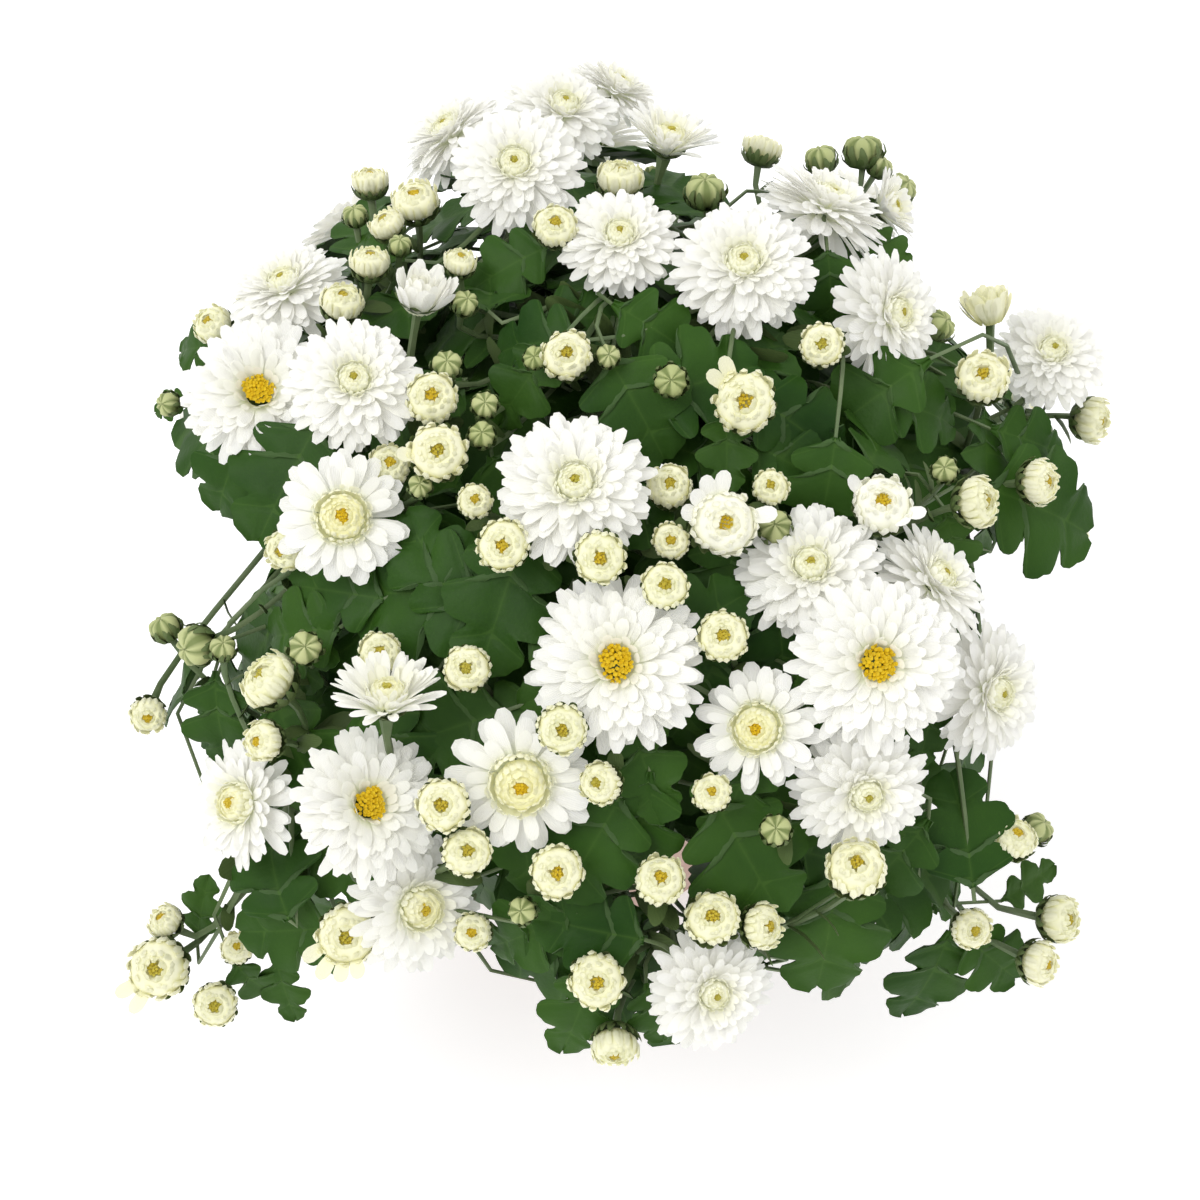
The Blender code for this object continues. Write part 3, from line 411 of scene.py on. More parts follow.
def dome_point(turn, height):
    """Point on the dome at a turn round the plant and a height angle, both in degrees."""
    turn, height = math.radians(turn), math.radians(height)
    share = Vector((math.cos(turn) * math.cos(height), math.sin(turn) * math.cos(height), math.sin(height)))
    return CANOPY_CENTRE + Vector([share[i] * CANOPY_RADII[i] for i in range(3)])


def head_places(seen, far):
    """(kind, middle, facing, radius) of each head in a table of seen ones and one of far ones."""
    places = []
    for kind, across, down, width, tilt, clock, lift in seen:
        middle = canopy_point(across, down, lift * MM)
        places.append((kind, middle, facing(middle, tilt, clock), width * MM / 2))
    for kind, turn, height, width in far:
        middle = dome_point(turn, height)
        outward = (canopy_normal(middle) + Vector((0, 0, FAR_RISE))).normalized()
        places.append((kind, middle, outward, width * MM / 2))
    return places


def bend(start, start_way, end, end_way, steps):
    """Points of a smooth bend from start to end, leaving and arriving along the two ways."""
    reach = (end - start).length * 0.4
    first, second = start + start_way * reach, end - end_way * reach
    points = []
    for step in range(steps + 1):
        t = step / steps
        points.append(
            start * (1 - t) ** 3 + first * 3 * t * (1 - t) ** 2 + second * 3 * t * t * (1 - t) + end * t ** 3
        )
    return points


def point_along(points, share):
    """Point and direction at a share of the length of a line of points."""
    lengths = [(b - a).length for a, b in zip(points, points[1:])]
    left = share * sum(lengths)
    for a, b, length in zip(points, points[1:], lengths):
        if left <= length:
            return a.lerp(b, left / length), (b - a).normalized()
        left -= length
    return points[-1].copy(), (points[-1] - points[-2]).normalized()


def branch_line(start, start_way, seat, direction, sag):
    """A branch from start to a flower head's seat, bending in behind the head."""
    line = bend(start, start_way, seat - direction * NECK, direction, BRANCH_STEPS)
    middle = line[len(line) // 2]
    inward = (Vector((0, 0, middle.z - SAG_DROP)) - middle).normalized()
    for step, point in enumerate(line):
        share = step / (len(line) - 1)
        point += inward * sag * 4 * share * (1 - share)
    return [*line, seat - direction * 1 * MM]


def in_a_head(point, spare=0.0, own=None):
    """Whether a point lies among the petals of a head other than its own."""
    for index, (_, middle, direction, radius) in enumerate(heads):
        if index != own:
            step = point - middle
            rise = step.dot(direction)
            across = (step - direction * rise).length
            low, high = -radius * HEAD_MIDDLE - spare, radius * HEAD_TOP + spare
            if across < radius * HEAD_REACH + spare and low < rise < high:
                return True
    return False


def cutting_of(place):
    """The cutting whose part of the canopy a place lies in."""
    spread = CANOPY_RING / CUTTING_RING
    flat = Vector((place.x, place.y, 0))
    return min(range(len(cutting_feet)), key=lambda i: (flat - cutting_feet[i] * spread).length)


heads = head_places(BLOOMS, FAR_BLOOMS)
cutting_feet = [Vector((0, 0, 0))]
for step in range(CUTTING_COUNT):
    turn = 2 * math.pi * step / CUTTING_COUNT - math.pi / 2
    cutting_feet.append(Vector((math.cos(turn), math.sin(turn), 0)) * CUTTING_RING)

stem_lines = []
stem_tubes = []
for number, foot in enumerate(cutting_feet):
    seats = []
    for index, (_, middle, direction, radius) in enumerate(heads):
        seat = middle - direction * radius * HEAD_MIDDLE
        if cutting_of(seat) == number:
            seats.append((index, seat, direction, radius))
    centre = sum((seat for _, seat, _, _ in seats), Vector()) / len(seats)
    seats.sort(key=lambda head: (head[1] - centre).length)
    lines, tubes = [], []
    for step, (index, seat, direction, radius) in enumerate(seats):
        choices = []
        for sag in BRANCH_SAGS:
            for shift in BRANCH_SHIFTS:
                if step:
                    share = max(LEAST_BRANCH, FIRST_BRANCH + BRANCH_SPAN * step / len(seats) + shift)
                    start, way = point_along(lines[0], share)
                    start_way = (way + (seat - start).normalized()).normalized()
                    line = branch_line(start, start_way, seat, direction, sag)
                else:
                    collar = Vector((foot.x, foot.y, SOIL_TOP + COLLAR))
                    line = branch_line(collar, Vector((0, 0, 1)), seat, direction, sag)
                blocked = sum(in_a_head(point, BRANCH_SPARE, index) for point in line[:-2])
                choices.append((blocked, len(choices), line))
        line = min(choices)[2]
        thick = BRANCH_RADIUS if step else STEM_RADIUS
        last = len(line) - 2
        radii = [thick + (STALK_RADIUS - thick) * min(1, point / last) for point in range(len(line) - 1)]
        radii.append(radius * CALYX)
        lines.append(line)
        if not step:
            line = [Vector((foot.x, foot.y, SOIL_TOP - STEM_DEPTH)), *line]
            radii = [STEM_RADIUS, *radii]
        tubes.append((line, radii))
    stem_lines.append(lines)
    stem_tubes.append(tubes)

# Leaves: thin, soft and dull green, with two or three round lobes a side, each lobe with a few
# blunt teeth, and a pale net of veins. Each stands on a slim stalk that grows out of its stem.
# Those that show in the view are (across and down at the middle of the blade, length in mm,
# clock of the tip). The others fill the dome under the heads, layer by layer, and keep inside
# the outline of the bush and out of the gaps where the pot and the table show through. The ones
# that show lie a little under the dome.
LEAF_LIFT = -12 * MM
LEAVES = (
    (1052, 510, 46, 345), (1035, 440, 32, 350), (872, 398, 46, 215), (930, 408, 36, 10),
    (962, 548, 26, 285), (830, 942, 43, 268), (932, 985, 42, 262), (967, 828, 38, 98),
    (995, 962, 30, 318), (1030, 884, 24, 22), (893, 870, 38, 235), (897, 815, 18, 60),
    (522, 940, 38, 212), (588, 930, 34, 170), (578, 1018, 38, 252), (656, 1018, 24, 285),
    (646, 768, 36, 290), (640, 838, 40, 262), (750, 862, 40, 300), (735, 800, 34, 250),
    (268, 870, 34, 112), (282, 932, 34, 190), (254, 990, 26, 300), (284, 992, 26, 274),
    (201, 908, 24, 72), (214, 728, 36, 268), (292, 632, 30, 185), (326, 966, 16, 238),
    (222, 478, 30, 236), (284, 484, 42, 242), (188, 345, 26, 168), (168, 404, 16, 190),
    (372, 244, 26, 150), (504, 266, 30, 205), (530, 340, 30, 178), (592, 306, 36, 5),
    (660, 330, 34, 330), (833, 292, 28, 275), (890, 250, 20, 318), (829, 492, 34, 262),
    (727, 452, 26, 270), (405, 592, 46, 195), (500, 606, 44, 252), (786, 640, 32, 280),
    (938, 738, 24, 262), (445, 730, 36, 215), (705, 380, 38, 20), (640, 410, 36, 300),
    (520, 385, 34, 230), (430, 560, 36, 120), (330, 590, 34, 170), (700, 620, 34, 30),
    (810, 430, 40, 330), (590, 850, 36, 240), (560, 690, 30, 200),
)
BUSH_OUTLINE = (
    (400, 170), (470, 120), (560, 85), (640, 110), (700, 165), (760, 195), (850, 165), (905, 200),
    (895, 250), (930, 290), (960, 335), (1000, 320), (1060, 340), (1090, 400), (1060, 440),
    (1095, 490), (1040, 550), (960, 545), (985, 600), (1020, 660), (1015, 740), (950, 745),
    (930, 800), (965, 775), (1040, 820), (1060, 870), (1085, 920), (1060, 975), (1000, 985),
    (960, 1030), (900, 1010), (890, 960), (870, 985), (800, 985), (785, 950), (740, 1020),
    (715, 1040), (660, 1040), (600, 1050), (545, 1045), (545, 990), (490, 970), (480, 950),
    (400, 945), (340, 970), (310, 960), (290, 1020), (250, 1010), (200, 1020), (140, 990),
    (130, 940), (170, 905), (200, 890), (240, 915), (250, 850), (200, 820), (205, 770),
    (180, 740), (110, 715), (100, 700), (150, 690), (160, 610), (190, 620), (240, 640),
    (265, 600), (280, 520), (240, 480), (200, 510), (210, 460), (150, 400), (190, 380),
    (165, 330), (230, 290), (260, 260), (340, 250), (345, 180),
)
# Round gaps in the bush, (across, down, radius) in pixels
GAPS = ((610, 885, 30), (697, 845, 20), (795, 885, 24), (925, 772, 18), (640, 918, 14))
# Layers of leaves inside the bush: depth in parts of the dome, how many, length in mm
LEAF_SHELLS = ((0.90, 150, 38), (0.80, 150, 43), (0.68, 130, 48), (0.52, 70, 50))
# The depth from which leaves are plainly built, and where a layer starts and how far it goes down
PLAIN_DEPTH = 0.7
SHELL_TOP = 0.96
SHELL_FALL = 1.40
# How much a leaf that shows faces the viewer, and how the others stray, face up and swing round
LEAF_FACING = 1.3
LEAF_SPREAD = 0.4
LEAF_RISE = 0.45
LEAF_SWING = 1.3
# A leaf among petals is tried swung aside and then a step deeper
LEAF_TRIES = 9
LEAF_STEP = 5 * MM
TRIED_SWINGS = (0.0, 0.3, -0.3)
# Points of a leaf that have to be clear of petals, lengthwise and across in parts of its length
LEAF_SPOTS = ((0.2, 0), (0.5, 0), (0.9, 0), (0.5, 0.35), (0.5, -0.35))
SMALL_LEAF = 28 * MM
SLIM_SHARE = 0.35
LEAF_THICKNESS = 0.45 * MM
LEAF_LENGTH = 40 * MM
STALK_LENGTH = 30 * MM
# Places tried for a stalk's root along a branch, from a share of it and over a share of it, and
# the cosine of the most that the stalk may turn
ROOT_TRIES = 30
ROOT_LOW = 0.2
ROOT_SPAN = 0.7
ROOT_TURN = 0.35
LEAF_GREEN = (0.036, 0.098, 0.010)
LEAF_DARK = (0.012, 0.048, 0.005)
LEAF_LIGHT = (0.070, 0.150, 0.025)
LEAF_UNDER = (0.055, 0.105, 0.035)
VEIN_SHARPNESS = 7.0
# A blade's side veins slant, its halves fold up and fall off to the edge, and it swells between
# its veins and waves along its edge, all in parts of its length
VEIN_SLANT = 0.42
BLADE_FOLD = 0.16
BLADE_FALL = 0.42
BLADE_SWELL = 0.012
EDGE_WAVE = 0.030
EDGE_WAVES = 17
BLADE_DROOPS = (0.25, 0.6, 1.0)
# A leaf's stalk: its radii from root to blade, and how far behind and under the blade its root is
# looked for
PETIOLE_RADII = (1.1 * MM, 0.95 * MM, 0.85 * MM, 0.75 * MM, 0.65 * MM)
PETIOLE_BEHIND = 8 * MM
PETIOLE_UNDER = 10 * MM
# Right half of a blade's outline from stalk to tip, in parts of its length, and a narrower one
BROAD_LEAF = (
    (0.030, 0.00), (0.060, 0.05), (0.150, 0.11), (0.290, 0.13), (0.370, 0.18), (0.385, 0.25),
    (0.330, 0.31), (0.200, 0.36), (0.270, 0.40), (0.400, 0.42), (0.470, 0.48), (0.455, 0.55),
    (0.420, 0.58), (0.395, 0.64), (0.320, 0.67), (0.205, 0.68), (0.235, 0.73), (0.290, 0.78),
    (0.290, 0.85), (0.240, 0.89), (0.200, 0.94), (0.120, 0.97), (0.060, 1.00),
)
SLIM_LEAF = (
    (0.030, 0.00), (0.050, 0.06), (0.110, 0.14), (0.240, 0.18), (0.300, 0.24), (0.290, 0.30),
    (0.210, 0.34), (0.140, 0.39), (0.190, 0.43), (0.320, 0.46), (0.375, 0.53), (0.350, 0.60),
    (0.300, 0.63), (0.250, 0.68), (0.150, 0.70), (0.165, 0.75), (0.210, 0.79), (0.215, 0.85),
    (0.170, 0.89), (0.140, 0.94), (0.080, 0.97), (0.040, 0.99), (0.015, 1.00),
)


def rounded(outline):
    """The outline with a point more between each two, all on one smooth curve."""
    points = []
    for row in range(len(outline) - 1):
        before, after = outline[max(0, row - 1)], outline[min(len(outline) - 1, row + 2)]
        here, there = outline[row], outline[row + 1]
        points.append(here)
        points.append(tuple((9 * (here[i] + there[i]) - before[i] - after[i]) / 16 for i in range(2)))
    return [*points, outline[-1]]


def lobed_blade(name, outline, droop, columns):
    """A leaf one long, shaped on a grid whose cross rows run from the rib out to the outline."""
    rows = len(outline)
    bpy.ops.object.select_all(action="DESELECT")
    bpy.ops.mesh.primitive_grid_add(x_subdivisions=2 * columns, y_subdivisions=rows - 1, size=2)
    blade = bpy.context.object
    blade.name = name
    mesh = blade.data
    vein = mesh.attributes.new("vein", "FLOAT", "POINT")
    reach = [across for across, _ in outline]
    for vert in mesh.vertices:
        row = round((vert.co.y + 1) / 2 * (rows - 1))
        column = round(vert.co.x * columns)
        across, along = outline[row]
        root = max(0.0, along - VEIN_SLANT * across)
        share = abs(column) / columns
        lobe_tip = 0 < row < rows - 1 and reach[row] >= max(reach[row - 1], reach[row + 1])
        x = math.copysign(across * share, column) if column else 0.0
        y = root + (along - root) * share
        wave = EDGE_WAVE * share ** 3 * math.sin(EDGE_WAVES * along + column)
        swell = BLADE_SWELL if column and not lobe_tip else 0.0
        z = BLADE_FOLD * abs(x) - BLADE_FALL * x * x + swell + wave
        vein.data[vert.index].value = 1.0 if lobe_tip or not column else 0.0
        lean = -droop * y
        rib = (math.sin(lean) / -droop, (math.cos(lean) - 1) / droop)
        vert.co = (x, rib[0] - z * math.sin(lean), rib[1] + z * math.cos(lean))
    mesh.materials.append(leaf_top)
    mesh.materials.append(leaf_back)
    thick = blade.modifiers.new("thickness", "SOLIDIFY")
    thick.thickness = LEAF_THICKNESS / LEAF_LENGTH
    thick.offset = -1
    thick.material_offset = 1
    thick.material_offset_rim = 1
    apply_all(blade)
    bpy.ops.object.shade_smooth_by_angle(angle=math.radians(50))
    return blade


def leaf_finish(name, dark, mid, light, vein_share, roughness):
    """Dull leaf skin: drifting greens, pale veins from the blade's own vein map, fine blisters."""
    made, tree, shader = new_finish(name, {"Roughness": roughness, "Specular IOR Level": 0.14})
    place = new_node(tree, "TexCoord", {})
    ramp = drifting(tree, place, 28, 5, ((0.30, dark), (0.72, mid)))
    fresh, paint = new_node(tree, "Mix", {}), new_node(tree, "Mix", {})
    for mix in (fresh, paint):
        mix.data_type = "RGBA"
        mix.inputs["B"].default_value = (*light, 1)
    vein, tint = new_node(tree, "Attribute", {}), new_node(tree, "Attribute", {})
    vein.attribute_name = "vein"
    tint.attribute_name = "tint"
    thin, share = new_node(tree, "Math", {}), new_node(tree, "Math", {})
    thin.operation = "POWER"
    thin.inputs[1].default_value = VEIN_SHARPNESS
    share.operation = "MULTIPLY"
    share.inputs[1].default_value = vein_share
    blister = new_node(tree, "TexNoise", {"Scale": 700})
    wire(tree, (
        (place, "Object", blister, "Vector"), (tint, "Fac", fresh, "Factor"),
        (ramp, "Color", fresh, "A"), (vein, "Fac", thin, 0), (thin, 0, share, 0),
        (share, 0, paint, "Factor"), (fresh, "Result", paint, "A"),
        (paint, "Result", shader, "Base Color"),
    ))
    raised(tree, shader, (blister, "Fac"), 0.4, 0.3 * MM)
    return made


def stalk_root(lines, place, base, way):
    """The point on the lines nearest to place, from which a straight stalk reaches base without
    turning too far from the way that it goes on from there."""
    found = []
    for line in lines:
        for step in range(ROOT_TRIES + 1):
            point, _ = point_along(line, ROOT_LOW + ROOT_SPAN * step / ROOT_TRIES)
            stray = (base - point).normalized().dot(way) < ROOT_TURN
            found.append((stray, (point - place).length, tuple(point)))
    return Vector(min(found)[2])


def grown(name, copies):
    """One piece of many copies, each of them (mesh, matrix, tint from 0 to 1)."""
    bm = bmesh.new()
    for mesh, matrix, tint in copies:
        copy = mesh.copy()
        copy.transform(matrix)
        shade = copy.attributes.get("tint") or copy.attributes.new("tint", "FLOAT", "POINT")
        shade.data.foreach_set("value", [tint] * len(copy.vertices))
        bm.from_mesh(copy)
        bpy.data.meshes.remove(copy)
    joined = bpy.data.meshes.new(name)
    bm.to_mesh(joined)
    bm.free()
    for finish in copies[0][0].materials:
        joined.materials.append(finish)
    piece = bpy.data.objects.new(name, joined)
    bpy.context.scene.collection.objects.link(piece)
    return piece


def pixel_of(point):
    """Where a point shows in the view."""
    right, up, back = view_axes()
    step = point - VIEW_EYE
    scale = VIEW_DISTANCE / -step.dot(back) / (VIEW_SPAN / VIEW_PIXELS)
    return VIEW_PIXELS / 2 + step.dot(right) * scale, VIEW_PIXELS / 2 - step.dot(up) * scale


def in_the_bush(point):
    """Whether a point shows inside the outline of the bush and clear of its gaps."""
    x, y = pixel_of(point)
    inside = False
    for (x1, y1), (x2, y2) in zip(BUSH_OUTLINE, BUSH_OUTLINE[1:] + BUSH_OUTLINE[:1]):
        if (y1 > y) != (y2 > y) and x < x1 + (x2 - x1) * (y - y1) / (y2 - y1):
            inside = not inside
    return inside and all(math.hypot(x - gx, y - gy) > radius for gx, gy, radius in GAPS)


def leaf_matrix(base, way, normal, length):
    """Where a blade one long goes to grow from its base, lengthwise and facing the two ways."""
    side = way.cross(normal).normalized()
    normal = side.cross(way).normalized()
    turn = Matrix((side, way, normal)).transposed().to_4x4()
    return Matrix.Translation(base) @ turn @ Matrix.Scale(length, 4)


def leaf_blocked(base, way, normal, length):
    """How many points of a leaf lie among a head's petals."""
    side = way.cross(normal).normalized()
    spots = [base + way * length * along + side * length * across for along, across in LEAF_SPOTS]
    return sum(in_a_head(spot, 1 * MM) for spot in spots)


leaf_top = leaf_finish("leaf green", LEAF_DARK, LEAF_GREEN, LEAF_LIGHT, 0.40, 0.48)
leaf_back = leaf_finish("leaf back", LEAF_UNDER, LEAF_UNDER, LEAF_LIGHT, 0.8, 0.6)
plain_blades = []
blades = []
fine_blades = []
for outline in (BROAD_LEAF, SLIM_LEAF):
    for droop in BLADE_DROOPS:
        plain_blades.append(lobed_blade("plain_blade", outline, droop, 1))
        blades.append(lobed_blade("blade", outline, droop, 2))
        fine_blades.append(lobed_blade("fine_blade", rounded(outline), droop, 4))
draw = random.Random(11)
leaf_places = []
right, up, _ = view_axes()
for across, down, length, clock in LEAVES:
    middle = canopy_point(across, down, LEAF_LIFT)
    normal = (canopy_normal(middle) + facing(middle, 0, 0) * LEAF_FACING).normalized()
    way = right * math.cos(math.radians(clock)) + up * math.sin(math.radians(clock))
    leaf_places.append((middle, way, normal, length * MM, fine_blades))
GOLDEN_TURN = math.pi * (3 - math.sqrt(5))
for depth, count, length in LEAF_SHELLS:
    for step in range(count):
        height = SHELL_TOP - SHELL_FALL * (step + 0.5) / count
        turn = GOLDEN_TURN * step + depth * 7
        run = math.sqrt(1 - height * height)
        share = Vector((math.cos(turn) * run, math.sin(turn) * run, height))
        middle = CANOPY_CENTRE + Vector([share[i] * CANOPY_RADII[i] * depth for i in range(3)])
        stray = [draw.uniform(-LEAF_SPREAD, LEAF_SPREAD) for _ in range(2)]
        normal = (canopy_normal(middle) + Vector((*stray, LEAF_RISE))).normalized()
        outward = Vector((share.x, share.y, 0)).normalized()
        way = Matrix.Rotation(draw.uniform(-LEAF_SWING, LEAF_SWING), 3, "Z") @ outward
        kinds = blades if depth > PLAIN_DEPTH else plain_blades
        leaf_places.append((middle, way, normal, length * draw.uniform(0.8, 1.1) * MM, kinds))

leaf_copies = [[] for _ in cutting_feet]
petiole_tubes = [[] for _ in cutting_feet]
for middle, way, normal, length, kinds in leaf_places:
    way = (way - normal * way.dot(normal)).normalized()
    tries = []
    for step in range(LEAF_TRIES):
        deeper, side = divmod(step, len(TRIED_SWINGS))
        swung = Matrix.Rotation(TRIED_SWINGS[side], 3, normal) @ way
        base = middle - normal * LEAF_STEP * deeper - swung * length / 2
        tries.append((leaf_blocked(base, swung, normal, length), step, base, swung))
    blocked, _, base, way = min(tries)
    spots = [base, base + way * length * 0.5, base + way * length]
    if kinds is not fine_blades and (blocked or not all(in_the_bush(spot) for spot in spots)):
        continue
    number = cutting_of(middle)
    sought = base - way * PETIOLE_BEHIND - normal * PETIOLE_UNDER
    root = stalk_root(stem_lines[number], sought, base, way)
    leaving = ((base - root).normalized() + normal * 0.3).normalized()
    petiole = bend(root, leaving, base, way, len(PETIOLE_RADII) - 1)
    petiole_tubes[number].append((petiole, PETIOLE_RADII))
    small = length < SMALL_LEAF
    droop = draw.randrange(len(BLADE_DROOPS))
    slim = len(BLADE_DROOPS) if small or draw.random() < SLIM_SHARE else 0
    blade = kinds[droop + slim]
    wide = Matrix.Diagonal((draw.uniform(0.88, 1.12), 1, 1, 1))
    fresh = draw.uniform(0.0, 0.25) + (0.25 if small else 0.0)
    leaf_copies[number].append((blade.data, leaf_matrix(base, way, normal, length) @ wide, fresh))

# Bud stalks: every bud sits on a thin ridged stalk of the nearest branch, with small leaves along
# it. A bud is (across, down, width in mm, tilt, clock, lift), as a head is. The buttons are round
# and cream with a yellow dimple on top, the tight ones smaller and still closed in green bracts.
BUTTONS = (
    (555, 226, 14, 25, 80, 8), (620, 178, 16, 65, 85, -8), (415, 201, 16, 50, 100, 0),
    (370, 181, 13, 70, 95, 0), (387, 224, 12, 60, 120, 2), (370, 262, 13, 62, 90, 4),
    (460, 262, 11, 55, 80, 0), (342, 302, 14, 50, 80, 4), (213, 325, 14, 50, 140, 0),
    (567, 355, 16, 10, 90, 6), (822, 345, 14, 5, 90, 8), (983, 377, 17, 20, 90, 6),
    (1040, 482, 15, 60, 0, 0), (978, 502, 16, 60, 10, 6), (1093, 420, 16, 68, 350, 0),
    (432, 398, 16, 15, 90, 4), (745, 402, 19, 5, 90, 6), (438, 452, 18, 8, 90, 8),
    (475, 501, 11, 15, 90, 0), (503, 545, 16, 5, 200, 10), (600, 557, 16, 5, 270, 12),
    (669, 486, 14, 20, 80, -6), (665, 586, 14, 8, 90, 10), (723, 636, 15, 5, 90, 4),
    (380, 653, 13, 10, 90, -4), (467, 668, 14, 5, 180, 0), (562, 729, 15, 8, 270, 12),
    (600, 783, 13, 20, 180, 4), (557, 872, 16, 5, 270, 2), (467, 852, 15, 8, 60, 10),
    (443, 805, 16, 8, 180, 14), (660, 880, 15, 15, 80, 0), (713, 918, 17, 10, 80, 0),
    (763, 926, 14, 45, 0, 0), (597, 981, 17, 8, 270, 4), (615, 1047, 15, 60, 270, 0),
    (857, 868, 18, 25, 90, 8), (712, 793, 12, 10, 90, 0), (1015, 838, 14, 40, 60, 0),
    (1061, 919, 16, 58, 0, 0), (1040, 963, 15, 58, 345, 0), (972, 929, 13, 25, 330, 4),
    (215, 1005, 15, 10, 250, 0), (165, 921, 12, 50, 140, 0), (158, 968, 20, 18, 200, 2),
    (237, 948, 11, 10, 100, 4), (263, 741, 13, 40, 180, 8), (148, 715, 12, 20, 260, 0),
    (268, 680, 18, 60, 140, 4), (347, 935, 19, 12, 250, 6), (473, 932, 12, 10, 200, -10),
    (285, 550, 13, 30, 200, -4), (771, 487, 11, 15, 90, 0), (671, 541, 11, 5, 90, 0),
    (988, 308, 15, 78, 100, 0), (390, 465, 13, 20, 90, -6),
)
TIGHT_BUDS = (
    (705, 190, 14, 60, 90, -4), (821, 158, 12, 74, 100, 0), (863, 150, 15, 78, 90, 0),
    (902, 188, 12, 65, 45, 4), (940, 325, 11, 60, 40, -4), (671, 381, 11, 5, 90, 0),
    (1038, 828, 11, 62, 40, -4), (195, 646, 14, 60, 200, 4), (165, 627, 11, 70, 120, 0),
    (305, 648, 11, 10, 90, 0), (608, 356, 8, 15, 60, 2), (535, 358, 8, 15, 120, 2),
    (485, 405, 9, 20, 90, 0), (447, 365, 10, 30, 90, 0), (465, 303, 9, 40, 60, 0),
    (945, 470, 9, 20, 100, 0), (776, 830, 10, 10, 90, 0), (522, 911, 9, 10, 180, 0),
    (223, 648, 9, 40, 90, 0), (880, 166, 10, 74, 60, -2), (400, 245, 8, 50, 90, 0),
    (355, 215, 9, 60, 100, 0), (482, 435, 9, 20, 90, 0), (420, 486, 8, 20, 90, 0),
    (775, 527, 11, 15, 90, -4), (168, 404, 9, 50, 180, 0),
)
BUDS = [("button", *place) for place in BUTTONS] + [("tight", *place) for place in TIGHT_BUDS]
FAR_BUDS = (
    ("button", 70, 16, 15), ("button", 108, 14, 14), ("tight", 84, 2, 11), ("button", 140, 6, 15),
    ("button", 10, -10, 15), ("button", 146, -14, 14),
)
# A bud's seat under its middle in parts of its radius, its stalk's radii from root to seat, and
# where along it small leaves grow
BUD_SEAT = 0.75
BUD_STALK_RADII = (1.15, 1.05, 1.0, 1.0, 1.0, 1.1, 1.5)
STALK_STOUTNESS = {"button": 1.15 * MM, "tight": 0.95 * MM}
STALK_LEAF_PLACES = (0.25, 0.48, 0.70)
STALK_LEAF_LENGTHS = (13, 22)
buds = head_places(BUDS, FAR_BUDS)
bud_stalks = [[] for _ in cutting_feet]
stalk_leaves = [[] for _ in cutting_feet]
draw = random.Random(29)
for stage, middle, direction, radius in buds:
    number = cutting_of(middle)
    base = middle - direction * radius * BUD_SEAT
    root = stalk_root(stem_lines[number], base - direction * STALK_LENGTH, base, direction)
    tip = base + direction * 0.6 * MM
    stalk = bend(root, (base - root).normalized(), tip, direction, len(BUD_STALK_RADII) - 1)
    bud_stalks[number].append((stalk, [STALK_STOUTNESS[stage] * width for width in BUD_STALK_RADII]))
    for share in STALK_LEAF_PLACES:
        root, way = point_along(stalk, share + draw.uniform(-0.08, 0.08))
        side = (Matrix.Rotation(draw.uniform(0, 2 * math.pi), 3, way) @ way.orthogonal()).normalized()
        side = (side + way * 0.8 + Vector((0, 0, 0.25))).normalized()
        length = draw.uniform(*STALK_LEAF_LENGTHS) * (1.25 - share) * MM
        stalk_leaves[number].append((root, side, way, length))

# Petals, florets and bracts: all are blades of one build, thin, closed, troughed along the middle
# and curled from root to tip. They stand in rings on a head, each a little unlike the next.
# A blade's stations are (how far along, half the width, height of the edges, half the thickness).
PETAL = (
    (0.00, 0.42, 0.010, 0.014), (0.25, 0.66, 0.028, 0.012), (0.50, 0.90, 0.032, 0.010),
    (0.74, 1.00, 0.024, 0.008), (0.90, 0.80, 0.012, 0.006), (1.00, 0.36, 0.004, 0.004),
)
FLORET = (
    (0.00, 0.80, 0.02, 0.040), (0.45, 1.00, 0.06, 0.036), (0.80, 0.92, 0.04, 0.024),
    (1.00, 0.50, 0.01, 0.012),
)
BRACT = (
    (0.00, 0.70, 0.00, 0.030), (0.35, 1.00, 0.01, 0.030), (0.72, 0.86, 0.01, 0.024),
    (0.92, 0.50, 0.00, 0.016), (1.00, 0.15, 0.00, 0.008),
)
# How far a blade strays from an even ring: its turn in parts of their spacing, its length, its
# lean, its twist, its width and its tint
STRAY_TURN = 0.34
STRAY_LENGTH = (-0.13, 0.06)
STRAY_LEAN = 0.15
STRAY_TWIST = 0.30
STRAY_WIDTH = 0.1
STRAY_TINT = 0.05


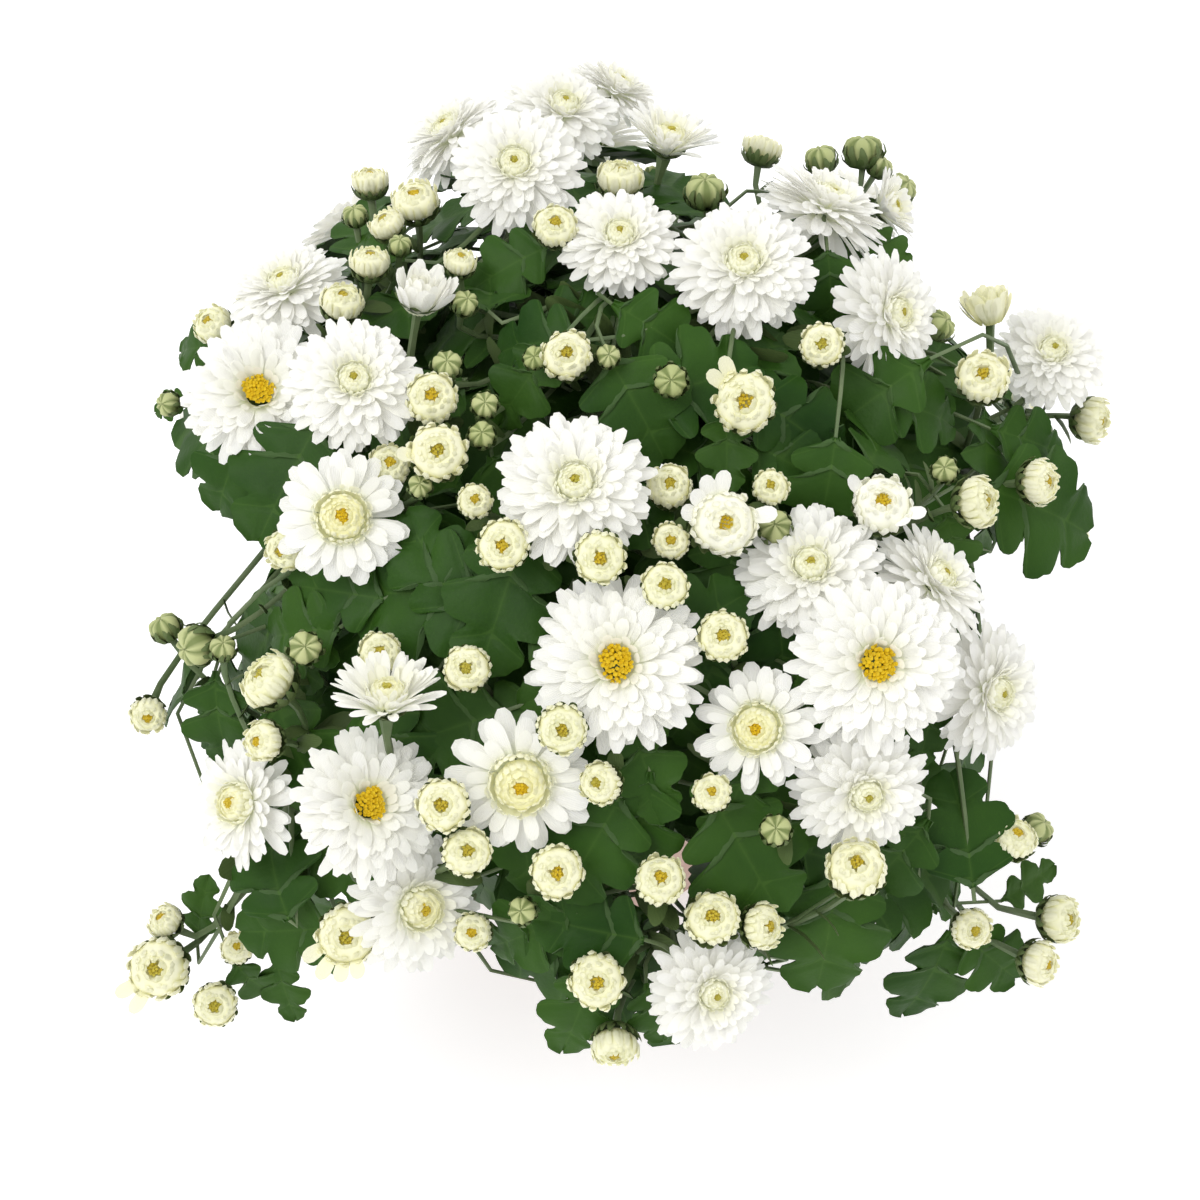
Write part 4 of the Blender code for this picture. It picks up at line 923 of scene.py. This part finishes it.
def drawn_blade(name, stations):
    """A blade one long along +X and one wide each side, drawn out of a four-cornered section."""
    bpy.ops.object.select_all(action="DESELECT")
    bpy.ops.mesh.primitive_circle_add(vertices=4, radius=0.1, fill_type="NGON", rotation=(0, math.pi / 2, 0))
    blade = bpy.context.object
    blade.name = name
    bpy.ops.object.transform_apply(location=True, rotation=True, scale=True)
    bpy.ops.object.mode_set(mode="EDIT")
    bpy.ops.mesh.select_all(action="SELECT")
    for before, after in zip(stations, stations[1:]):
        bpy.ops.mesh.extrude_region_move(TRANSFORM_OT_translate={"value": (after[0] - before[0], 0, 0)})
    bpy.ops.mesh.select_all(action="SELECT")
    bpy.ops.mesh.normals_make_consistent(inside=False)
    bpy.ops.object.mode_set(mode="OBJECT")
    mesh = blade.data
    for vert in mesh.vertices:
        _, half, lift, thick = min(stations, key=lambda station: abs(station[0] - vert.co.x))
        if abs(vert.co.y) > 0.05:
            vert.co.y = math.copysign(half, vert.co.y)
            vert.co.z = lift
        else:
            vert.co.y = 0.0
            vert.co.z = math.copysign(thick, vert.co.z)
    chart = mesh.uv_layers.new(name="blade")
    for loop in mesh.loops:
        place = mesh.vertices[loop.vertex_index].co
        chart.data[loop.index].uv = (0.5 + place.y / 2, place.x)
    bpy.ops.object.shade_smooth_by_angle(angle=math.radians(60))
    return mesh


def curled(blade, rise, curl):
    """A copy of a blade that leaves its root at a rise and curls evenly on, both in degrees."""
    mesh = blade.copy()
    rise, curl = math.radians(rise), math.radians(curl or 0.1)
    for vert in mesh.vertices:
        along, thick = vert.co.x, vert.co.z
        way = rise + curl * along
        vert.co.x = (math.sin(way) - math.sin(rise)) / curl - thick * math.sin(way)
        vert.co.z = (math.cos(rise) - math.cos(way)) / curl + thick * math.cos(way)
    return mesh


def blade_rings(blade, rings, scale, place, draw, loose, warm=0.0):
    """Copies of a blade in rings, each (count, length, half width, rise, curl, root radius, root
    height, tint), with the lengths in parts of scale and the tint raised by warm."""
    copies = []
    for count, length, half, rise, curl, reach, height, tint in rings:
        shaped = curled(blade, rise, curl)
        shaped.materials.clear()
        start = draw.uniform(0, 2 * math.pi)
        for step in range(count):
            stray = draw.uniform(-STRAY_TURN, STRAY_TURN) * loose
            turn = Matrix.Rotation(start + 2 * math.pi * (step + stray) / count, 4, "Z")
            long = length * (1 + draw.uniform(*STRAY_LENGTH) * loose)
            lean = Matrix.Rotation(draw.uniform(-STRAY_LEAN, STRAY_LEAN) * loose, 4, "Y")
            twist = Matrix.Rotation(draw.uniform(-STRAY_TWIST, STRAY_TWIST) * loose, 4, "X")
            wide = half * (1 + draw.uniform(-STRAY_WIDTH, STRAY_WIDTH) * loose)
            root = Matrix.Translation((reach, 0, height)) @ lean @ twist
            matrix = place @ Matrix.Scale(scale, 4) @ turn @ root @ Matrix.Diagonal((long, wide, long, 1))
            shade = tint + warm + draw.uniform(-STRAY_TINT, STRAY_TINT)
            copies.append((shaped, matrix, min(1.0, max(0.0, shade))))
    return copies


def frame_along(direction, turn):
    """Rotation whose Z is the direction, turned about it."""
    return direction.to_track_quat("Z", "Y").to_matrix() @ Matrix.Rotation(turn, 3, "Z")


def blade_finish(name, body, root, heart, roughness, through, painted_glow=0.0):
    """Petal or bract skin: body colour, another at the root, and a third as the tint rises. An optional
    painted glow in the body colour, light the skin gives off itself, brightens it where it lies in shade.
    """
    made, tree, shader = new_finish(name, {
        "Roughness": roughness, "Specular IOR Level": 0.25, "Subsurface Weight": through,
        "Subsurface Radius": (1.0, 1.0, 0.8), "Subsurface Scale": 3 * MM,
        "Emission Color": (*body, 1), "Emission Strength": painted_glow,
    })
    chart, tint = new_node(tree, "UVMap", {}), new_node(tree, "Attribute", {})
    chart.uv_map = "blade"
    tint.attribute_name = "tint"
    split = new_node(tree, "SeparateXYZ", {})
    near = new_node(tree, "MapRange", {"From Min": 0.05, "From Max": 0.45, "To Min": 1.0, "To Max": 0.0})
    warm, paint = new_node(tree, "Mix", {}), new_node(tree, "Mix", {})
    for mix, colour in ((warm, heart), (paint, root)):
        mix.data_type = "RGBA"
        mix.inputs["B"].default_value = (*colour, 1)
    warm.inputs["A"].default_value = (*body, 1)
    ribs = new_node(tree, "TexWave", {"Scale": 3.0, "Distortion": 0.6})
    wire(tree, (
        (chart, "UV", split, "Vector"), (chart, "UV", ribs, "Vector"), (split, "Y", near, "Value"),
        (tint, "Fac", warm, "Factor"), (warm, "Result", paint, "A"), (near, "Result", paint, "Factor"),
        (paint, "Result", shader, "Base Color"),
    ))
    raised(tree, shader, (ribs, "Color"), 0.25, 0.2 * MM)
    return made


PETAL_WHITE = (0.95, 0.945, 0.895)
PETAL_ROOT = (0.80, 0.84, 0.55)
PETAL_HEART = (0.90, 0.89, 0.55)
# The petals give off a little light in their own white, a painted glow that lifts the shade between them.
petal_finish = blade_finish("petal white", PETAL_WHITE, PETAL_ROOT, PETAL_HEART, 0.5, 0.35, 0.07)
petal_blade = drawn_blade("petal_blade", PETAL)
bract_blade = drawn_blade("bract_blade", BRACT)
floret_blade = drawn_blade("floret_blade", FLORET)

# Flower heads: rings of white petals, the lowest flat and the next ones ever shorter and
# steeper, round a heart of curled florets or an open disc. The youngest are still a button that
# lets go its first petals.
HEAD_LAYERS = {
    "double": (
        (21, 0.80, 0.098, -8, -18, 0.15, 0.10, 0.00),
        (24, 0.86, 0.098, 8, -14, 0.15, 0.13, 0.00),
        (25, 0.82, 0.096, 17, -20, 0.15, 0.17, 0.00),
        (25, 0.76, 0.094, 27, -24, 0.14, 0.20, 0.00),
        (24, 0.69, 0.090, 37, -26, 0.13, 0.23, 0.00),
        (23, 0.60, 0.086, 47, -24, 0.12, 0.25, 0.03),
        (22, 0.50, 0.078, 56, -14, 0.14, 0.26, 0.10),
        (20, 0.38, 0.062, 62, 8, 0.17, 0.28, 0.30),
    ),
    "open": (
        (25, 0.85, 0.098, 5, -10, 0.16, 0.13, 0.00),
        (25, 0.80, 0.096, 14, -16, 0.17, 0.16, 0.00),
        (24, 0.73, 0.094, 24, -20, 0.18, 0.19, 0.00),
        (23, 0.64, 0.090, 34, -24, 0.18, 0.21, 0.02),
        (21, 0.53, 0.084, 44, -24, 0.19, 0.23, 0.06),
        (18, 0.40, 0.074, 54, -16, 0.20, 0.24, 0.14),
        (14, 0.28, 0.056, 66, 10, 0.19, 0.24, 0.26),
    ),
    "half": (
        (20, 0.84, 0.108, 6, -12, 0.20, 0.10, 0.00),
        (21, 0.77, 0.104, 16, -16, 0.20, 0.13, 0.00),
        (21, 0.68, 0.098, 27, -18, 0.20, 0.16, 0.00),
        (21, 0.56, 0.086, 38, -16, 0.22, 0.19, 0.05),
        (22, 0.38, 0.060, 50, 14, 0.26, 0.22, 0.22),
    ),
    "young": (
        (14, 0.80, 0.148, 5, -12, 0.22, 0.10, 0.00),
        (13, 0.73, 0.138, 15, -14, 0.24, 0.13, 0.00),
        (15, 0.52, 0.096, 27, -12, 0.28, 0.16, 0.05),
        (26, 0.24, 0.040, 46, 50, 0.37, 0.18, 0.40),
    ),
    "cup": (
        (20, 0.90, 0.092, 40, -16, 0.20, 0.10, 0.02),
        (20, 0.82, 0.088, 50, -14, 0.20, 0.14, 0.06),
        (20, 0.70, 0.078, 59, -8, 0.20, 0.18, 0.16),
        (18, 0.56, 0.064, 66, 8, 0.20, 0.22, 0.36),
    ),
    "brush": (
        (17, 1.20, 0.200, 50, 26, 0.36, -0.06, 0.02),
        (15, 1.12, 0.185, 62, 26, 0.30, 0.00, 0.06),
        (13, 1.00, 0.160, 72, 24, 0.22, 0.05, 0.14),
        (9, 0.92, 0.130, 80, 16, 0.12, 0.08, 0.30),
    ),
    "opening": (),
}
# Heads that look further on, or less far on, than the build of their node
HEAD_LOOK = {(418, 907): "half", (240, 803): "half", (886, 208): "cup", (420, 300): "brush"}
# Radius and height of the curled heart in parts of a head's radius, and the tint of its florets
HEAD_HEART = {
    "double": (0.27, 0.44, 0.12), "half": (0.35, 0.36, 0.45), "young": (0.43, 0.30, 0.60),
    "cup": (0.36, 0.40, 0.30),
}
HEART_CREAM = (0.92, 0.92, 0.74)
HEART_ROOT = (0.84, 0.85, 0.50)
HEART_YELLOW = (0.92, 0.88, 0.44)
# Rings of florets in a heart, from the outside in, in parts of its radius
HEART_RINGS = (
    (27, 0.80, 0.130, 38, 80, 0.74, -0.34, -0.30),
    (26, 0.72, 0.125, 48, 85, 0.63, -0.12, -0.10),
    (23, 0.62, 0.115, 58, 90, 0.52, 0.00, 0.10),
    (19, 0.50, 0.100, 66, 95, 0.39, 0.08, 0.25),
)
# Radius and height of the button of an opening head in parts of the head's radius
HEAD_BUTTON = {"opening": (0.84, 0.50)}
# Ridges round a button's body, and its profile from the seat up and over into the dimple, as
# (radius, height) in parts of the button's radius
BUTTON_RIDGES = 13
BUTTON_PROFILE = (
    (0.22, -0.84), (0.52, -0.75), (0.79, -0.53), (0.95, -0.22), (1.00, 0.06), (0.96, 0.28),
    (0.85, 0.44), (0.68, 0.52), (0.50, 0.51), (0.36, 0.42), (0.28, 0.29), (0.20, 0.22),
)
# Rings of florets over a button's body, from the outside in, in parts of its radius
BUTTON_RINGS = (
    (24, 1.06, 0.140, 30, 95, 0.70, -0.46, 0.00),
    (21, 0.86, 0.128, 48, 95, 0.59, -0.16, 0.05),
    (16, 0.60, 0.112, 64, 95, 0.44, 0.08, 0.12),
)
TIGHT_RIDGES = 11
TIGHT_PROFILE = (
    (0.30, -0.85), (0.62, -0.70), (0.86, -0.40), (0.97, -0.05), (0.95, 0.26), (0.84, 0.50),
    (0.60, 0.62), (0.32, 0.66), (0.08, 0.62),
)
# Where the first petals have let go: across and down of the head or button, and their clocks
LOOSE_PETALS = {
    (722, 523): (95, 118, 140, 165, 12), (882, 507): (335, 305, 150), (745, 402): (142, 118),
    (438, 452): (188,), (347, 935): (205, 235, 262, 290), (158, 968): (215, 245),
}


def ruffled(name, profile, ridges, depth, striped):
    """A round piece with ridges from seat to top. The map of its colours runs along them, or
    across them where it is striped."""
    piece = drawn_up(name, profile, 2 * ridges)
    chart = piece.data.uv_layers.new(name="blade")
    piece.data.attributes.new("tint", "FLOAT", "POINT")
    map_place = []
    for vert in piece.data.vertices:
        across, turn = vert.co.xy.length, math.atan2(vert.co.y, vert.co.x)
        column = round(turn / math.pi * ridges)
        outside = min(1.0, max(0.0, (across - 0.28) * 2.2)) * (1 if vert.co.z > -0.70 else 0)
        groove = (column % 2) * depth * (1 if striped else outside)
        vert.co.z -= groove * 0.9 if vert.co.z > 0.30 else 0.0
        ruffle = 1 - groove + 0.05 * outside * noise.noise(Vector((column * 1.7, 0, 3)))
        vert.co.x *= ruffle
        vert.co.y *= ruffle
        if striped:
            map_place.append(0.12 if column % 2 else 0.50)
        elif across < 0.31 and vert.co.z > 0:
            map_place.append(0.10)
        else:
            flame = 0.16 * noise.noise(Vector((column * 2.3, 1, 7)))
            map_place.append(min(1.0, max(0.0, (vert.co.z + 0.84) / 2.3 + flame)))
    for loop in piece.data.loops:
        chart.data[loop.index].uv = (0.5, map_place[loop.vertex_index])
    bpy.ops.object.shade_smooth_by_angle(angle=math.radians(70))
    return piece


cushion = ruffled("cushion", BUTTON_PROFILE, BUTTON_RIDGES, 0.040, False)
tight_ball = ruffled("tight_ball", TIGHT_PROFILE, TIGHT_RIDGES, 0.10, True)


def turn_to(place, clock):
    """The turn about a head's own axis that points to a clock direction in the view."""
    right, up, _ = view_axes()
    way = right * math.cos(math.radians(clock)) + up * math.sin(math.radians(clock))
    way = place.to_3x3().inverted() @ way
    return math.atan2(way.y, way.x)


def button_of(radius, place, draw, tint=(0.0, 0.35)):
    """A button: its petals still curled in over each other into one ruffled cushion."""
    turn = Matrix.Rotation(draw.uniform(0, 3), 4, "Z")
    squash = Matrix.Diagonal((draw.uniform(0.94, 1.04), 1, draw.uniform(0.92, 1.05), 1))
    place, shade = place @ turn @ squash, draw.uniform(*tint)
    body = (cushion.data, place @ Matrix.Scale(radius * 0.90, 4), shade)
    return [body, *blade_rings(floret_blade, BUTTON_RINGS, radius, place, draw, 0.75, shade)]


def loose_petals(radius, place, clocks, draw):
    """The first few petals that a button lets go, towards clock directions in the view."""
    copies = []
    for clock in clocks:
        shaped = curled(petal_blade, draw.uniform(42, 62), draw.uniform(-22, 6))
        shaped.materials.clear()
        turn = Matrix.Rotation(turn_to(place, clock), 4, "Z")
        root = Matrix.Translation((0.64, 0, -0.20))
        size = Matrix.Diagonal((draw.uniform(1.05, 1.40), 0.25, 1.25, 1))
        copies.append((shaped, place @ Matrix.Scale(radius, 4) @ turn @ root @ size, 0.0))
    return copies


def heart_of(radius, place, draw, tint):
    """The curled middle of a head: rings of short florets that bend in over each other."""
    body = (cushion.data, place @ Matrix.Scale(radius * 0.78, 4), tint)
    return [body, *blade_rings(floret_blade, HEART_RINGS, radius, place, draw, 0.7, tint)]


# The heart florets give off a little light in their own cream, a painted glow that lifts the shade between
# them.
heart_finish = blade_finish("heart cream", HEART_CREAM, HEART_ROOT, HEART_YELLOW, 0.55, 0.3, 0.07)
draw = random.Random(11)
head_frames = []
for _, middle, direction, radius in heads:
    seat = middle - direction * radius * HEAD_MIDDLE
    turn = frame_along(direction, draw.uniform(0, 3)).to_4x4()
    head_frames.append(Matrix.Translation(seat) @ turn)
draw = random.Random(5)
head_looks = []
for number, (entry, head, place) in enumerate(zip((*BLOOMS, *FAR_BLOOMS), heads, head_frames), 1):
    kind, _, _, radius = head
    look, node = HEAD_LOOK.get(entry[1:3], kind), f"bloom_{number:02d}"
    copies = blade_rings(petal_blade, HEAD_LAYERS[look], radius, place, draw, 1.0)
    if look in HEAD_HEART:
        share, rise, tint = HEAD_HEART[look]
        middle = place @ Matrix.Translation((0, 0, rise * radius))
        heart = grown(f"heart_{number:02d}", heart_of(radius * share, middle, draw, tint))
        fix(heart, heart_finish, "petals", node)
    if look in HEAD_BUTTON:
        share, rise = HEAD_BUTTON[look]
        middle = place @ Matrix.Translation((0, 0, rise * radius))
        copies += button_of(radius * share, middle, draw, (0.3, 0.5))
        copies += loose_petals(radius * share, middle, LOOSE_PETALS.get(entry[1:3], ()), draw)
    head_looks.append(look)
    fix(grown(f"flower_{number:02d}", copies), petal_finish, "petals", node)

# Yellow middles: the open discs are crowded with short orange-yellow tubes. Full heads and
# buttons show only a few of them, greener, at the bottom of the dimple.
DISC_GOLD = (0.74, 0.52, 0.012)
DISC_ROOT = (0.56, 0.46, 0.04)
DISC_OLIVE = (0.48, 0.46, 0.09)
# A spot of tubes: its radius and height in parts of a head's radius, the tubes' width, how many
# they are, their tint and how high they dome up
HEAD_SPOT = {
    "open": (0.18, 0.30, 0.52 * MM, 70, 0.06, 1.0 * MM),
    "double": (0.045, 0.52, 0.40 * MM, 10, 0.90, 0.3 * MM),
    "half": (0.075, 0.49, 0.40 * MM, 18, 0.45, 0.3 * MM),
    "young": (0.100, 0.44, 0.40 * MM, 26, 0.12, 0.3 * MM),
    "cup": (0.060, 0.54, 0.40 * MM, 12, 0.90, 0.3 * MM),
    "opening": (0.20, 0.68, 0.40 * MM, 22, 0.30, 0.3 * MM),
}
BUTTON_DIMPLE = (0.22, 0.34, 0.40 * MM, 17)
TUBE_STRAY = 0.4
bpy.ops.object.select_all(action="DESELECT")
bpy.ops.mesh.primitive_cylinder_add(vertices=6, radius=1, depth=2, end_fill_type="NGON")
disc_tube = bpy.context.object
disc_tube.name = "disc_tube"
bpy.ops.object.mode_set(mode="EDIT")
bpy.ops.mesh.select_all(action="DESELECT")
bpy.ops.object.mode_set(mode="OBJECT")
for face in disc_tube.data.polygons:
    face.select = face.normal.z > 0.9
bpy.ops.object.mode_set(mode="EDIT")
bpy.ops.transform.resize(value=(1.25, 1.25, 1), center_override=(0, 0, 1))
bpy.ops.mesh.inset(thickness=0.45)
bpy.ops.transform.translate(value=(0, 0, -0.5))
bpy.ops.object.mode_set(mode="OBJECT")
disc_tube.data.uv_layers.new(name="blade")
bpy.ops.object.shade_smooth_by_angle(angle=math.radians(50))
for chart_point in disc_tube.data.uv_layers["blade"].data:
    chart_point.uv = (0.5, 0.9)


def spot_of(spot, scale, place, draw):
    """A dome of tubes laid out in a sunflower spiral with a ragged rim."""
    radius, rise, size, count, tint, dome = spot
    radius, place = radius * scale, place @ Matrix.Translation((0, 0, rise * scale))
    copies = []
    seed = draw.uniform(0, 50)
    for step in range(count):
        turn = GOLDEN_TURN * step
        ragged = 1 + 0.42 * noise.noise(Vector((math.cos(turn) * 1.6, math.sin(turn) * 1.6, seed)))
        share = ragged * math.sqrt((step + 0.5) / count)
        reach = radius * share
        lift = dome * (1 - share * share) + draw.uniform(-0.4, 0.7) * size
        stray = [draw.uniform(-TUBE_STRAY, TUBE_STRAY) * size for _ in range(2)]
        x, y = reach * math.cos(turn) + stray[0], reach * math.sin(turn) + stray[1]
        foot = Matrix.Translation((x, y, lift))
        lean = Matrix.Rotation(0.5 * share, 4, Vector((-math.sin(turn), math.cos(turn), 0)))
        width = size * draw.uniform(0.85, 1.15)
        shape = Matrix.Diagonal((width, width, size * 1.6, 1))
        shade = min(1.0, max(0.0, tint + draw.uniform(-0.12, 0.12)))
        copies.append((disc_tube.data, place @ foot @ lean @ shape, shade))
    return copies


# The tubes give off a little light in their own gold, a painted glow that lifts the shade in the gaps
# between them.
disc_yellow = blade_finish("disc yellow", DISC_GOLD, DISC_ROOT, DISC_OLIVE, 0.6, 0.1, 0.08)
draw = random.Random(17)
for number, ((_, _, _, radius), place, look) in enumerate(zip(heads, head_frames, head_looks), 1):
    if look in HEAD_SPOT:
        spot = spot_of(HEAD_SPOT[look], radius, place, draw)
        if look == "open":
            fix(grown(f"disc_tubes_{number:02d}", spot), disc_yellow, "disc", f"disc_{number:02d}")
        else:
            fix(grown(f"spot_{number:02d}", spot), disc_yellow, "disc")

# Buds on the leafy stems: buttons of curled cream petals, and tight green buds with a ridge for
# each petal, all in a cup of green bracts. The heads have bracts under their petals too.
BUD_CREAM = (0.92, 0.905, 0.64)
BUD_ROOT = (0.56, 0.56, 0.20)
BUD_HEART = (0.62, 0.66, 0.30)
TIGHT_CREAM = (0.52, 0.55, 0.27)
TIGHT_GROOVE = (0.14, 0.19, 0.05)
TIGHT_SHADE = (0.38, 0.44, 0.17)
BRACT_GREEN = (0.080, 0.125, 0.035)
BRACT_ROOT = (0.05, 0.085, 0.022)
BRACT_EDGE = (0.30, 0.36, 0.16)
BUTTON_BRACTS = (
    (14, 1.12, 0.17, 4, 84, 0.32, -0.92, 0.20),
    (12, 0.92, 0.20, 2, 72, 0.28, -0.93, 0.00),
)
TIGHT_BRACTS = (
    (9, 1.98, 0.22, 5, 118, 0.15, -0.08, 0.22),
    (9, 1.45, 0.22, 2, 94, 0.17, -0.12, 0.00),
)
TIGHT_SQUASH = 0.80
# Buds that have opened into a brush, the brush's size in parts of a bud's radius, and the size of
# the bracts under a head that looks like a brush
BRUSH_BUDS = ((988, 308),)
BRUSH_SIZE = 1.35
BRUSH_BRACT_SIZE = 2.0
HEAD_BRACTS = (
    (10, 0.36, 0.100, 18, 30, 0.10, 0.00, 0.20),
    (9, 0.28, 0.095, 10, 40, 0.08, -0.02, 0.00),
)
# The buds give off a little light in their own cream, a painted glow that lifts the shade between their
# florets.
bud_finish = blade_finish("bud cream", BUD_CREAM, BUD_ROOT, BUD_HEART, 0.55, 0.25, 0.05)
tight_finish = blade_finish("tight bud green", TIGHT_CREAM, TIGHT_GROOVE, TIGHT_SHADE, 0.6, 0.1)
bract_finish = blade_finish("bract green", BRACT_GREEN, BRACT_ROOT, BRACT_EDGE, 0.6, 0.0)
draw = random.Random(23)
bud_copies, tight_copies, bract_copies, dimple_copies = ([[] for _ in cutting_feet] for _ in range(4))
small_leaf = curled(bract_blade, 0, 40)
small_leaf.materials.clear()
for number, leaves in enumerate(stalk_leaves):
    for root, way, normal, length in leaves:
        side = way.cross(normal).normalized()
        turn = Matrix((way, -side, side.cross(way) * -1)).transposed().to_4x4()
        size = Matrix.Diagonal((length, length * 0.25, length, 1))
        if not in_a_head(root + way * length, 0):
            bract_copies[number].append((small_leaf, Matrix.Translation(root) @ turn @ size, 0.0))
for entry, (stage, middle, direction, radius) in zip((*BUDS, *FAR_BUDS), buds):
    number = cutting_of(middle)
    turn = frame_along(direction, draw.uniform(0, 3)).to_4x4()
    place = Matrix.Translation(middle) @ turn
    if entry[1:3] in BRUSH_BUDS:
        cup = Matrix.Translation(middle - direction * radius * 0.6) @ turn
        size = radius * BRUSH_SIZE
        bud_copies[number] += blade_rings(petal_blade, HEAD_LAYERS["brush"], size, cup, draw, 1.2)
    elif stage == "button":
        bud_copies[number] += button_of(radius, place, draw, (0.0, 0.16))
        bud_copies[number] += loose_petals(radius, place, LOOSE_PETALS.get(entry[1:3], ()), draw)
        bract_copies[number] += blade_rings(bract_blade, BUTTON_BRACTS, radius, place, draw, 0.5)
        dimple = (*BUTTON_DIMPLE, draw.uniform(0.30, 0.95), 0.2 * MM)
        dimple_copies[number] += spot_of(dimple, radius, place, draw)
    else:
        ball = place @ Matrix.Scale(radius * 0.95, 4)
        tight_copies[number].append((tight_ball.data, ball, draw.uniform(0.0, 0.6)))
        flat = Matrix.Translation(middle - direction * radius * 0.80) @ turn
        flat = flat @ Matrix.Diagonal((1, 1, TIGHT_SQUASH, 1))
        bract_copies[number] += blade_rings(bract_blade, TIGHT_BRACTS, radius, flat, draw, 0.5)
for (_, middle, direction, radius), place, look in zip(heads, head_frames, head_looks):
    number = cutting_of(middle - direction * radius * HEAD_MIDDLE)
    rings, size = HEAD_BRACTS, radius
    if look == "brush":
        size = radius * BRUSH_BRACT_SIZE
    if look in HEAD_BUTTON:
        share, rise = HEAD_BUTTON[look]
        rings, size = BUTTON_BRACTS, radius * share
        place = place @ Matrix.Translation((0, 0, rise * radius))
    bract_copies[number] += blade_rings(bract_blade, rings, size, place, draw, 0.5)

# Green parts: each cutting's stems are swept as one ridged piece, and its bud stalks and leaf
# stalks as another. Its leaves, buds and bracts are a piece each.
STEM_GREEN = (0.095, 0.150, 0.055)
STEM_PALE = (0.150, 0.200, 0.090)
STEM_RIDGES = 5
STALK_RIDGES = 3
GROOVE = 0.84
stem_finish = speckled("stem green", STEM_GREEN, STEM_PALE, 90, 0.55, 1200, 0.3 * MM)


def swept(name, tubes, ridges):
    """One mesh of tubes, each (points, radii), with as many ridges along them."""
    bpy.ops.curve.primitive_bezier_circle_add(radius=1)
    section = bpy.context.object
    section.data.splines.clear()
    outline = section.data.splines.new("POLY")
    outline.points.add(ridges * 2 - 1)
    for step, corner in enumerate(outline.points):
        turn = math.pi * step / ridges
        radius = 1.0 if step % 2 else GROOVE
        corner.co = (radius * math.cos(turn), radius * math.sin(turn), 0, 1)
    outline.use_cyclic_u = True
    bpy.ops.curve.primitive_bezier_curve_add()
    sweep = bpy.context.object
    sweep.name = name
    sweep.data.splines.clear()
    sweep.data.dimensions = "3D"
    sweep.data.bevel_mode = "OBJECT"
    sweep.data.bevel_object = section
    sweep.data.use_fill_caps = True
    for points, radii in tubes:
        spline = sweep.data.splines.new("POLY")
        spline.points.add(len(points) - 1)
        for corner, place, radius in zip(spline.points, points, radii):
            corner.co = (*place, 1)
            corner.radius = radius
    bpy.ops.object.select_all(action="DESELECT")
    sweep.select_set(True)
    bpy.context.view_layer.objects.active = sweep
    bpy.ops.object.convert(target="MESH")
    bpy.data.objects.remove(section)
    bpy.ops.object.mode_set(mode="EDIT")
    bpy.ops.mesh.select_all(action="SELECT")
    bpy.ops.mesh.remove_doubles(threshold=0.00001)
    bpy.ops.mesh.normals_make_consistent(inside=False)
    bpy.ops.object.mode_set(mode="OBJECT")
    bpy.ops.object.shade_smooth_by_angle(angle=math.radians(60))
    return bpy.context.object


for number in range(len(cutting_feet)):
    mark, node = number + 1, f"leafy_stem_{number + 1}"
    stalk_tubes = bud_stalks[number] + petiole_tubes[number]
    fix(swept(f"stems_{mark}", stem_tubes[number], STEM_RIDGES), stem_finish, "foliage", node)
    fix(swept(f"stalks_{mark}", stalk_tubes, STALK_RIDGES), stem_finish, "foliage", node)
    fix(grown(f"leaves_{mark}", leaf_copies[number]), None, "foliage", node)
    if bud_copies[number]:
        fix(grown(f"buds_{mark}", bud_copies[number]), bud_finish, "petals", node)
        fix(grown(f"tight_buds_{mark}", tight_copies[number]), tight_finish, "foliage", node)
        fix(grown(f"dimples_{mark}", dimple_copies[number]), disc_yellow, "disc", node)
    fix(grown(f"bracts_{mark}", bract_copies[number]), bract_finish, "foliage", node)

# The shapes that the copies were made from are removed.
petal_shapes = [bpy.data.objects[name] for name in ("petal_blade", "bract_blade", "floret_blade")]
for scrap in [*plain_blades, *blades, *fine_blades, *petal_shapes, cushion, tight_ball, disc_tube]:
    bpy.data.objects.remove(scrap)
